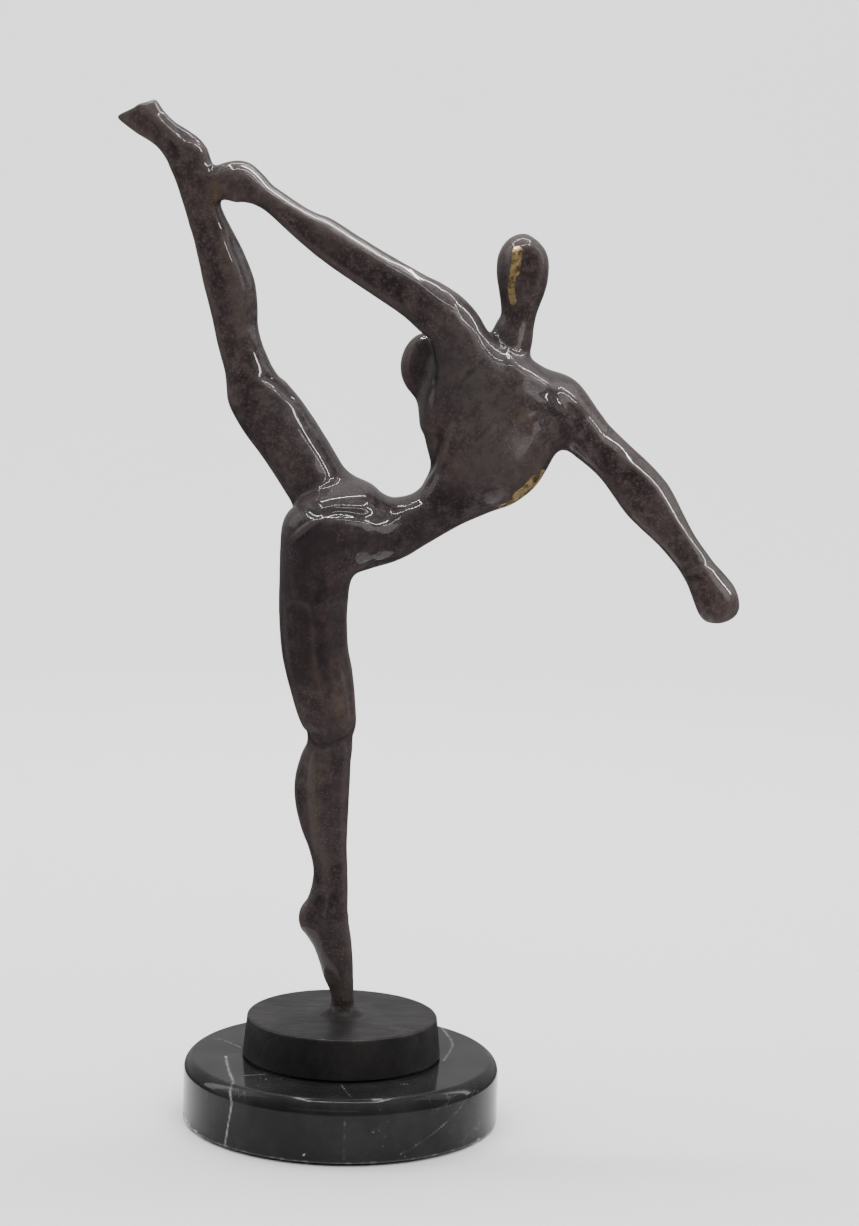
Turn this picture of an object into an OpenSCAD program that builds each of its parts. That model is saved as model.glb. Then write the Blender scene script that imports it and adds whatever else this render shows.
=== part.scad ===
// Bronze figure of a gymnast balanced on one toe, holding the raised ankle, on a
// round bronze plinth bolted to a marble disc. Millimetres, +Z up, origin at the
// centre of the felt pad's underside. The figure faces +X; -Y is its near side.

/* [Marble base] */
// Diameter of the marble disc
marble_d = 152; // [145:1:165]
// Thickness of the marble disc
marble_t = 29.5; // [27:0.5:34]
// Diameter of the marble's top face, inside its moulded edge
marble_top_d = 144; // [136:1:144]

/* [Plinth] */
// Diameter of the plinth at its foot
plinth_d = 96; // [90:1:100]
// Diameter of the plinth at its top edge
plinth_top_d = 92; // [86:1:92]
// Height of the plinth
plinth_h = 19.5; // [19:0.5:24]
// Thickness of the plinth's cast wall and top
plinth_wall = 4.5; // [3.5:0.5:5]

/* [Figure] */
// Height of the figure from the plinth's top to the raised toes
figure_h = 433; // [420:1:450]
// Diameter of the dowels in the figure's brazed joints
dowel_d = 4; // [3:0.5:4.5]
// Length of those dowels
dowel_l = 16; // [12:1:18]

/* [Fixings] */
// Thread diameter of the stud and nut
stud_d = 8; // [8:1:8]
// Thickness of the felt pad
felt_t = 1.5; // [1:0.5:3]
// Thickness of the rubber ring under the plinth
gasket_t = 0.8; // [0.5:0.1:1.5]

/* [Hidden] */
$fn = 96;

bronze = [0.24, 0.19, 0.17];
raw_bronze = [0.62, 0.47, 0.25];
zinc = [0.62, 0.64, 0.66];

// Heights of the stack, from the felt upwards.
marble_z = felt_t;
gasket_z = marble_z + marble_t;
plinth_z = gasket_z + gasket_t;
figure_z = plinth_z + plinth_h;
figure_scale = figure_h / 433;

// Fixings in the marble's counterbore, ISO sizes for an M8 stud.
hole_slack = 0.05;
counterbore_d = 34;
counterbore_h = 13;
seat_z = marble_z + counterbore_h;
penny_d = 30;
penny_t = 1.5;
spring_d = 14.8;
spring_t = 2;
nut_af = 13;
nut_t = 6.8;
stud_grip = 10.5;
stud_tail = 1.5;
stud_bottom = seat_z - penny_t - spring_t - nut_t - stud_tail;
boss_d = 20;
pin_d = 5;
pin_up = 14;
pin_down = 7;

// Stations along each limb, measured from the plinth's top: x, y, z, half width across
// the limb in the plane of the pose, half depth, and squareness (1 is an ellipse, above
// 1 draws the section to a ridge). A casting runs from the station where it is cut.
standing_leg = [
    [ -0.5,  0.0,   0.0,  9.5,  9.0, 1.0], [ -0.5,  0.0,   1.2,  7.4,  7.2, 1.0],
    [ -0.5,  0.0,   3.5,  5.8,  6.0, 1.0], [ -0.6,  0.0,   8.0,  5.3,  5.8, 1.0],
    [ -1.4,  0.0,  14.0,  6.0,  6.3, 1.0], [ -2.9,  0.0,  20.0,  7.3,  6.9, 1.0],
    [ -4.4, -0.5,  28.0,  8.3,  7.3, 1.0], [ -6.4, -0.5,  36.5,  9.5,  7.5, 1.0],
    [ -9.0, -1.0,  44.0, 11.4,  7.2, 1.1], [ -9.9, -1.0,  49.0, 11.6,  6.9, 1.1],
    [ -9.0, -1.0,  55.0, 10.2,  6.8, 1.1], [ -8.2, -1.0,  63.0,  8.9,  7.0, 1.0],
    [ -8.1, -1.5,  73.0,  8.4,  7.4, 1.0], [ -9.5, -2.0,  84.0,  9.5,  8.6, 1.0],
    [-11.4, -2.5,  95.0, 11.7, 10.3, 1.0], [-12.6, -3.0, 107.0, 13.1, 11.5, 1.0],
    [-12.4, -3.0, 116.0, 13.2, 11.6, 1.0], [-11.3, -3.5, 124.5, 12.3, 11.0, 1.0],
    [ -9.8, -4.0, 131.0, 11.2, 10.5, 1.0], [ -9.6, -4.0, 136.5, 11.0, 10.6, 1.0],
    [-10.1, -4.0, 143.0, 12.6, 11.2, 1.0], [-12.2, -4.5, 153.0, 14.5, 12.6, 1.0],
    [-14.6, -5.0, 165.0, 15.6, 13.8, 1.0], [-17.0, -6.0, 177.0, 15.9, 14.8, 1.0],
    [-18.5, -7.0, 192.0, 16.1, 15.6, 1.0], [-18.3, -8.0, 205.0, 16.5, 16.2, 1.0],
    [-17.2, -9.0, 217.0, 17.4, 16.8, 1.0], [-15.8, -9.5, 227.0, 18.4, 17.0, 1.0],
    [-14.6, -9.5, 236.0, 17.4, 16.2, 1.0], [-14.0, -9.0, 243.0, 12.5, 12.5, 1.0],
    [-14.0, -9.0, 247.0,  4.0,  4.0, 1.0]];
standing_leg_cut = 24;

raised_leg = [
    [ -8.0,  6.0, 236.0, 10.0, 12.0, 1.0], [-10.5,  7.0, 243.0, 15.5, 15.5, 1.0],
    [-16.2,  8.5, 254.5, 15.8, 15.8, 1.0], [-23.6, 10.0, 266.0, 15.5, 15.6, 1.0],
    [-31.0, 12.0, 277.0, 15.6, 15.2, 1.0], [-38.6, 13.0, 287.0, 15.8, 14.5, 1.0],
    [-43.0, 14.0, 292.5, 15.5, 13.8, 1.0], [-47.0, 14.5, 298.0, 14.5, 13.0, 1.0],
    [-49.6, 15.0, 304.0, 12.6, 12.0, 1.0], [-52.0, 15.0, 310.5, 11.0, 11.0, 1.0],
    [-55.2, 15.0, 319.0, 10.5, 10.6, 1.0], [-57.6, 14.5, 328.5, 10.5, 10.8, 1.0],
    [-58.6, 14.0, 336.0, 11.2, 11.0, 1.0], [-60.4, 13.0, 346.0, 12.1, 11.0, 1.0],
    [-63.0, 12.0, 354.5, 11.8, 10.5, 1.0], [-66.4, 11.0, 364.0, 10.8,  9.6, 1.0],
    [-70.4,  9.0, 373.0,  9.4,  8.6, 1.0], [-74.0,  7.5, 382.0,  8.6,  7.8, 1.0],
    [-77.4,  6.5, 392.0,  8.8,  7.4, 1.0], [-80.2,  6.0, 402.0,  9.9,  7.2, 1.0],
    [-83.0,  5.0, 409.5, 10.2,  7.0, 1.1], [-87.0,  5.0, 414.8,  8.6,  6.8, 1.1],
    [-91.6,  4.0, 419.0,  7.5,  6.0, 1.1], [-96.6,  3.0, 423.0,  8.2,  4.8, 1.1],
    [-101.6, 2.5, 425.8,  9.1,  3.6, 1.0], [-112.0, 2.0, 436.0,  9.3,  1.8, 1.0]];
// The raised toes end in a flat cut through this point, with this outward direction.
toe_cut = [-104.8, 2.0, 429.4];
toe_cut_out = [-0.42, 0.0, 0.91];
raised_leg_cut = 4;

trailing_arm = [
    [ 65.0, -3.0, 312.0,  8.0,  9.0, 1.0], [ 56.0, -5.0, 320.5, 10.5, 11.5, 1.0],
    [ 47.6, -7.0, 328.2, 12.6, 12.5, 1.0], [ 40.0, -8.5, 335.4, 12.6, 12.0, 1.0],
    [ 32.2, -9.5, 341.6, 12.0, 11.0, 1.0], [ 25.0, -10.0, 345.8, 10.7, 10.2, 1.0],
    [ 15.2, -10.0, 351.6, 10.2,  9.6, 1.1], [  3.8, -10.0, 358.2,  9.8,  9.2, 1.1],
    [ -7.0, -9.0, 364.8,  9.5,  9.0, 1.1], [-17.6, -8.0, 371.8,  9.5,  8.8, 1.1],
    [-23.4, -7.0, 375.4,  8.6,  8.2, 1.1], [-30.0, -6.0, 379.6,  7.6,  7.6, 1.0],
    [-39.2, -4.0, 385.8,  6.3,  6.6, 1.0], [-45.2, -2.0, 389.4,  6.3,  6.4, 1.0],
    [-50.8,  0.0, 392.6,  7.8,  7.0, 1.0], [-56.5,  1.5, 394.8,  9.8,  8.0, 1.0],
    [-62.5,  3.0, 395.4,  9.0,  8.0, 1.0], [-69.0,  4.5, 394.5,  6.8,  6.5, 1.0],
    [-73.0,  5.5, 394.0,  5.0,  5.0, 1.0]];
trailing_arm_cut = 5;

reaching_arm = [
    [ 74.0,  0.0, 305.0, 11.0,  9.0, 1.0], [ 84.0,  2.0, 300.0, 13.5, 11.0, 1.0],
    [ 93.5,  4.0, 294.6, 15.0, 12.5, 1.0], [100.8,  5.5, 289.6, 13.8, 12.0, 1.0],
    [106.6,  6.0, 284.8, 12.2, 11.0, 1.0], [112.6,  6.0, 279.3, 11.0, 10.0, 1.0],
    [120.0,  6.0, 273.2, 10.5,  9.4, 1.1], [125.4,  5.5, 268.2, 10.7,  9.4, 1.1],
    [131.6,  5.0, 261.8, 11.6,  9.6, 1.1], [138.2,  4.0, 254.2, 12.2,  9.6, 1.1],
    [143.2,  3.0, 248.0, 11.4,  9.0, 1.1], [149.0,  2.0, 240.8,  9.7,  8.2, 1.0],
    [155.2,  1.0, 232.6,  8.2,  7.6, 1.0], [161.2,  0.0, 224.8,  7.8,  7.2, 1.0],
    [165.2, -1.0, 219.2,  8.2,  7.4, 1.0], [169.0, -2.0, 213.6,  9.4,  8.0, 1.0],
    [172.6, -3.0, 207.6, 10.5,  8.4, 1.0], [174.8, -3.5, 202.0, 10.2,  8.0, 1.0],
    [176.2, -4.0, 197.6,  7.8,  6.0, 1.0], [176.8, -4.0, 195.2,  2.5,  2.5, 1.0]];
reaching_arm_cut = 5;

head = [
    [ 71.0,  0.0, 316.0, 13.4, 11.0, 1.0], [ 71.6,  0.0, 324.0, 11.6, 10.0, 1.0],
    [ 72.4,  0.0, 330.0, 10.2,  9.2, 1.0], [ 74.0,  0.0, 335.6,  8.3,  8.4, 1.0],
    [ 75.0,  0.0, 341.0,  9.0,  9.2, 1.0], [ 75.3,  0.0, 346.5, 10.4, 10.8, 1.1],
    [ 75.6,  0.0, 352.5, 11.8, 12.4, 1.1], [ 75.6,  0.0, 358.5, 12.2, 13.2, 1.1],
    [ 75.3,  0.0, 364.5, 11.5, 12.6, 1.1], [ 75.2,  0.0, 369.6,  9.3, 10.2, 1.1],
    [ 75.2,  0.0, 373.2,  5.8,  6.8, 1.0], [ 75.2,  0.0, 375.0,  1.5,  1.5, 1.0]];
head_cut = 3;

torso = [
    [-20.0,  0.0, 238.0,  8.0, 12.0, 1.0], [-11.0,  0.0, 239.0, 19.0, 21.0, 1.0],
    [  4.0,  0.0, 237.8, 21.8, 24.0, 1.0], [ 12.5,  0.0, 236.4, 18.2, 22.0, 1.0],
    [ 20.0,  0.0, 237.0, 15.4, 19.0, 1.0], [ 27.0,  0.0, 239.2, 13.4, 16.5, 1.0],
    [ 33.4,  0.0, 242.2, 12.4, 15.5, 1.0], [ 39.0,  0.0, 246.0, 12.9, 15.0, 1.0],
    [ 44.0,  0.0, 250.4, 14.8, 15.5, 1.0], [ 49.2,  0.0, 255.6, 18.0, 16.0, 1.0],
    [ 54.5,  0.0, 261.0, 22.2, 17.0, 1.0], [ 58.8,  0.0, 267.0, 26.0, 18.0, 1.0],
    [ 61.6,  0.0, 274.0, 29.6, 19.0, 1.0], [ 63.2,  0.0, 282.0, 32.6, 19.5, 1.0],
    [ 64.6,  0.0, 290.0, 34.2, 19.0, 1.0], [ 66.4,  0.0, 298.0, 33.8, 17.5, 1.0],
    [ 69.0,  0.0, 306.0, 30.5, 15.5, 1.0], [ 72.0,  0.0, 313.0, 24.5, 13.0, 1.0],
    [ 74.5,  0.0, 319.0, 14.5, 10.0, 1.0], [ 75.6,  0.0, 322.0,  6.0,  5.0, 1.0]];

// Swells that stand out of the torso: centre, radii and turn about Y.
torso_swells = [
    [[-8, -2, 237], [24, 25, 18], 0],     // pelvis
    [[36, 9, 311], [16, 10, 19], 6],      // far shoulder blade
    [[72, -8, 266], [15, 12, 13], 0],     // near ribs
    [[92, 4, 297], [13, 12, 13], 30]];    // reaching shoulder

// Curves and skins.
function spline(a, b, c, d, t) =
    (2 * b + (c - a) * t + (2 * a - 5 * b + 4 * c - d) * t * t + (3 * b - a - 3 * c + d) * t * t * t) / 2;
function finer(s, n) = [for (i = [0 : len(s) - 2]) for (k = [0 : n - 1])
    spline(s[max(i - 1, 0)], s[i], s[i + 1], s[min(i + 2, len(s) - 1)], k / n), s[len(s) - 1]];
function place(p) = [p[0], p[1], p[2]];
function unit(v) = v / norm(v);
function heading(f, i) = unit(place(f[min(i + 1, len(f) - 1)]) - place(f[max(i - 1, 0)]));
function bent(v, power) = sign(v) * pow(abs(v), power);
function ring(p, along, sides) =
    let (across = unit(cross([0, 1, 0], along)), deep = cross(along, across))
    [for (j = [0 : sides - 1]) let (turn = 360 * j / sides)
        place(p) + across * p[3] * bent(cos(turn), p[5]) + deep * p[4] * bent(sin(turn), p[5])];

// The skin round the stations from one station to another, closed by flat ends.
module limb(stations, sides, from, to, steps = 2) {
    f = finer(stations, steps);
    rings = [for (i = [from * steps : to * steps]) ring(f[i], heading(f, i), sides)];
    last = len(rings) - 1;
    points = [for (r = rings) for (p = r) p];
    walls = [for (i = [0 : last - 1]) for (j = [0 : sides - 1])
        let (k = (j + 1) % sides, a = i * sides + j, b = i * sides + k)
        each [[a, a + sides, b], [b, a + sides, b + sides]]];
    low = [for (j = [1 : sides - 2]) [0, j, j + 1]];
    high = [for (j = [1 : sides - 2]) [last * sides, last * sides + j + 1, last * sides + j]];
    polyhedron(points, concat(walls, low, high));
}

// Stands its children at a station, with +Z along the limb.
module at_station(stations, index) {
    along = unit(place(stations[index + 1]) - place(stations[index - 1]));
    translate(place(stations[index])) rotate([0, acos(along.z), atan2(along.y, along.x)]) children();
}

module swell(s) translate(s[0]) rotate([0, s[2], 0]) scale(s[1]) sphere(1, $fn = 28);
module on_plinth() translate([0, 0, figure_z]) scale(figure_scale) children();
module one_mesh() resize([0, 0, 0]) union() children();

// Brazed joints of the figure.
module section_joint(stations, cut, slack = 0) {
    at_station(stations, cut)
        cylinder(h = dowel_l + 2 * slack, d = dowel_d + 2 * slack, center = true);
}
module section_joints(slack = 0) {
    section_joint(standing_leg, standing_leg_cut, slack);
    section_joint(raised_leg, raised_leg_cut, slack);
    section_joint(trailing_arm, trailing_arm_cut, slack);
    section_joint(reaching_arm, reaching_arm_cut, slack);
    section_joint(head, head_cut, slack);
}

module torso_casting() color(bronze) on_plinth() difference() {
    one_mesh() {
        limb(torso, 32, 0, len(torso) - 1);
        limb(standing_leg, 24, standing_leg_cut, len(standing_leg) - 1);
        limb(raised_leg, 24, 0, raised_leg_cut);
        limb(trailing_arm, 20, 0, trailing_arm_cut);
        limb(reaching_arm, 20, 0, reaching_arm_cut);
        limb(head, 24, 0, head_cut);
        for (s = torso_swells) swell(s);
    }
    section_joints(hole_slack);
}

module head_casting() color(bronze) on_plinth() difference() {
    limb(head, 24, head_cut, len(head) - 1);
    section_joint(head, head_cut, hole_slack);
}

module standing_leg_casting() color(bronze) on_plinth() difference() {
    limb(standing_leg, 24, 0, standing_leg_cut);
    section_joint(standing_leg, standing_leg_cut, hole_slack);
    translate([standing_leg[0].x, 0, -1]) cylinder(h = pin_up + 1.2, d = pin_d + 2 * hole_slack);
}

module raised_leg_casting() color(bronze) on_plinth() difference() {
    one_mesh() difference() {
        limb(raised_leg, 24, raised_leg_cut, len(raised_leg) - 1);
        translate(toe_cut) rotate([0, atan2(toe_cut_out.x, toe_cut_out.z), 0])
            translate([-20, -20, 0]) cube(40);
    }
    section_joint(raised_leg, raised_leg_cut, hole_slack);
}

// The hand is dressed to the ankle that it holds.
module trailing_arm_casting() color(bronze) on_plinth() difference() {
    one_mesh() difference() {
        limb(trailing_arm, 20, trailing_arm_cut, len(trailing_arm) - 1);
        limb(raised_leg, 24, raised_leg_cut, len(raised_leg) - 1);
    }
    section_joint(trailing_arm, trailing_arm_cut, hole_slack);
}

module reaching_arm_casting() color(bronze) on_plinth() difference() {
    limb(reaching_arm, 20, reaching_arm_cut, len(reaching_arm) - 1);
    section_joint(reaching_arm, reaching_arm_cut, hole_slack);
}

module section_dowels() color(raw_bronze) on_plinth() section_joints();

// Pin through the toe into the plinth.
module foot_pin() color(raw_bronze) translate([standing_leg[0].x, 0, figure_z - pin_down])
    cylinder(h = pin_down + pin_up, d = pin_d);

// Cast drum, open below, with a boss that takes the stud from below and the pin from above.
module plinth() {
    r_low = plinth_d / 2;
    r_top = plinth_top_d / 2;
    edge = 1.2;
    color(bronze) translate([0, 0, plinth_z]) difference() {
        union() {
            rotate_extrude() polygon([
                [r_low, 0], [r_low - 0.3, 2], for (a = [0 : 15 : 90])
                    [r_top - edge + edge * cos(a), plinth_h - edge + edge * sin(a)],
                [0, plinth_h], [0, plinth_h - plinth_wall],
                [r_top - plinth_wall - 2, plinth_h - plinth_wall], [r_low - plinth_wall, 0]]);
            cylinder(h = plinth_h - 1, d = boss_d);
        }
        translate([0, 0, -1]) cylinder(h = stud_grip + 1.2, d = stud_d + 2 * hole_slack);
        translate([standing_leg[0].x, 0, plinth_h - pin_down - 0.2])
            cylinder(h = pin_down + 1, d = pin_d + 2 * hole_slack);
    }
}

module plinth_gasket() color([0.06, 0.06, 0.06]) translate([0, 0, gasket_z]) difference() {
    cylinder(h = gasket_t, d = plinth_d - 3);
    translate([0, 0, -1]) cylinder(h = gasket_t + 2, d = plinth_d - 11);
}

// Disc with an ovolo round its top edge, drilled and counterbored for the stud.
module marble_base() {
    r = marble_d / 2;
    ovolo_w = (marble_d - marble_top_d) / 2;
    ovolo_h = 6.5;
    ovolo_end = 60;
    across = ovolo_w / (1 - cos(ovolo_end));
    up = ovolo_h / sin(ovolo_end);
    arris = 0.6;
    color([0.07, 0.07, 0.08]) translate([0, 0, marble_z]) difference() {
        rotate_extrude($fn = 180) polygon([
            [0, 0], [r - arris, 0], [r, arris],
            for (a = [0 : 7.5 : ovolo_end]) [r - across + across * cos(a), marble_t - ovolo_h + up * sin(a)],
            [0, marble_t]]);
        translate([0, 0, -1]) cylinder(h = counterbore_h + 1, d = counterbore_d);
        cylinder(h = marble_t + 1, d = stud_d + 1);
    }
}

module mounting_stud() color(zinc) {
    tip = 1;
    top = plinth_z + stud_grip;
    translate([0, 0, stud_bottom + tip]) cylinder(h = top - stud_bottom - 2 * tip, d = stud_d);
    translate([0, 0, stud_bottom]) cylinder(h = tip, d1 = stud_d - 2 * tip, d2 = stud_d);
    translate([0, 0, top - tip]) cylinder(h = tip, d1 = stud_d, d2 = stud_d - 2 * tip);
}

module washer(z, d, bore, t) translate([0, 0, z]) difference() {
    cylinder(h = t, d = d);
    translate([0, 0, -1]) cylinder(h = t + 2, d = bore);
}

module penny_washer() color(zinc) washer(seat_z - penny_t, penny_d, stud_d + 0.4, penny_t);

// Split ring, drawn pressed flat.
module spring_washer() color(zinc) difference() {
    washer(seat_z - penny_t - spring_t, spring_d, stud_d + 0.2, spring_t);
    translate([0, 0, seat_z - penny_t - spring_t / 2]) rotate([35, 0, 0])
        translate([spring_d / 2, 0, 0]) cube([spring_d, 1, 3 * spring_t], center = true);
}

module hex_nut() color(zinc) translate([0, 0, seat_z - penny_t - spring_t - nut_t]) difference() {
    intersection() {
        cylinder(h = nut_t, d = nut_af / cos(30), $fn = 6);
        union() {
            cylinder(h = 1, d1 = nut_af, d2 = nut_af / cos(30) + 0.6);
            translate([0, 0, 1]) cylinder(h = nut_t - 2, d = nut_af / cos(30) + 0.6);
            translate([0, 0, nut_t - 1]) cylinder(h = 1, d1 = nut_af / cos(30) + 0.6, d2 = nut_af);
        }
    }
    translate([0, 0, -1]) cylinder(h = nut_t + 2, d = stud_d + 2 * hole_slack);
}

module felt_pad() color([0.05, 0.06, 0.06]) cylinder(h = felt_t, d = marble_d - 12);

torso_casting();
head_casting();
standing_leg_casting();
raised_leg_casting();
trailing_arm_casting();
reaching_arm_casting();
section_dowels();
foot_pin();
plinth();
plinth_gasket();
marble_base();
mounting_stud();
penny_washer();
spring_washer();
hex_nut();
felt_pad();
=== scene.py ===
"""Bronze gymnast on a round plinth and a marble disc: looks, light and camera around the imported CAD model."""

import math

import bmesh
import bpy
import numpy as np
import openvdb
from mathutils import Matrix, Vector


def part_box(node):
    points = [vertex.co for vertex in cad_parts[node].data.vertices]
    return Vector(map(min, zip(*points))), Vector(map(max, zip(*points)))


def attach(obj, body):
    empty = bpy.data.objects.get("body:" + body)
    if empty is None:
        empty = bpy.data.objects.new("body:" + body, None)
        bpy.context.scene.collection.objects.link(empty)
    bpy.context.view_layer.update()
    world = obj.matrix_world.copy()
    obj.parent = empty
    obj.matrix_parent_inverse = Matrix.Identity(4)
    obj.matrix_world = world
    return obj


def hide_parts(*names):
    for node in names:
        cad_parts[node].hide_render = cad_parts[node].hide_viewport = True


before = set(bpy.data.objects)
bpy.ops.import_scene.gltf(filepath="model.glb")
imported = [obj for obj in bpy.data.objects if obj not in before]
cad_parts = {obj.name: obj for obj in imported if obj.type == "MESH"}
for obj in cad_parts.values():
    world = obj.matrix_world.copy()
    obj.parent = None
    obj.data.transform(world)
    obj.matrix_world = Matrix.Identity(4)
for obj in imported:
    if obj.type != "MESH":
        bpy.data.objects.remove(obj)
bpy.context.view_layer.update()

MM = 0.001
PLINTH_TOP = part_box("plinth")[1][2]


# ---------------------------------------------------------------- camera
def set_camera():
    """The camera stands level with the head, looks a little down and leans a little to its right."""
    place = (0, -1.3, 0.413)
    down, turn, lean = 0.1267, 0.0283, 0.0275
    side = Vector((math.cos(turn), -math.sin(turn), 0))
    ahead = Vector((math.cos(down) * math.sin(turn), math.cos(down) * math.cos(turn), -math.sin(down)))
    above = side.cross(ahead)
    right = math.cos(lean) * side + math.sin(lean) * above
    up = math.cos(lean) * above - math.sin(lean) * side
    data = bpy.data.cameras.new("camera")
    data.sensor_width = 36
    data.lens = 81.12
    data.clip_start = 0.05
    camera = bpy.data.objects.new("camera", data)
    bpy.context.collection.objects.link(camera)
    aim = Matrix((right, up, -ahead)).transposed()
    camera.matrix_world = Matrix.Translation(place) @ aim.to_4x4()
    bpy.context.scene.camera = camera


set_camera()


# ---------------------------------------------------------------- mesh helpers
def spline(points, steps):
    """Points along a smooth curve through the given rows."""
    rows = np.array(points, float)
    ends = np.vstack([rows[:1], rows, rows[-1:]])
    t = np.linspace(0, 1, steps, endpoint=False)[:, None]
    runs = [
        (2 * b + (c - a) * t + (2 * a - 5 * b + 4 * c - d) * t**2 + (3 * b - a - 3 * c + d) * t**3) / 2
        for a, b, c, d in zip(ends, ends[1:], ends[2:], ends[3:])
    ]
    return np.vstack(runs + [rows[-1:]])


def unit(rows):
    return rows / np.linalg.norm(rows, axis=-1, keepdims=True)


def link(name, mesh):
    piece = bpy.data.objects.new(name, mesh)
    bpy.context.collection.objects.link(piece)
    return piece


def mesh_of(name, points, faces):
    """A new smooth piece from points in metres."""
    mesh = bpy.data.meshes.new(name)
    mesh.from_pydata([tuple(p) for p in points], [], faces)
    mesh.validate()
    mesh.polygons.foreach_set("use_smooth", [True] * len(mesh.polygons))
    return link(name, mesh)


def places_of(mesh, unit=MM):
    """Where a mesh's points are, in millimetres, or in the mesh's own numbers for a unit of 1."""
    points = np.empty(len(mesh.vertices) * 3, np.float32)
    mesh.vertices.foreach_get("co", points)
    return points.reshape(-1, 3).astype(float) / unit


def put_back(mesh, points, **attributes):
    """Moves a mesh's points to places in millimetres, and gives them attributes for materials."""
    mesh.vertices.foreach_set("co", (points * MM).astype(np.float32).ravel())
    for name, values in attributes.items():
        layer = mesh.attributes.new(name, "FLOAT", "POINT")
        layer.data.foreach_set("value", np.asarray(values, np.float32))
    mesh.update()


# ---------------------------------------------------------------- clay
REACH = 10.0  # how far from the skin distances are kept, in mm


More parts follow.
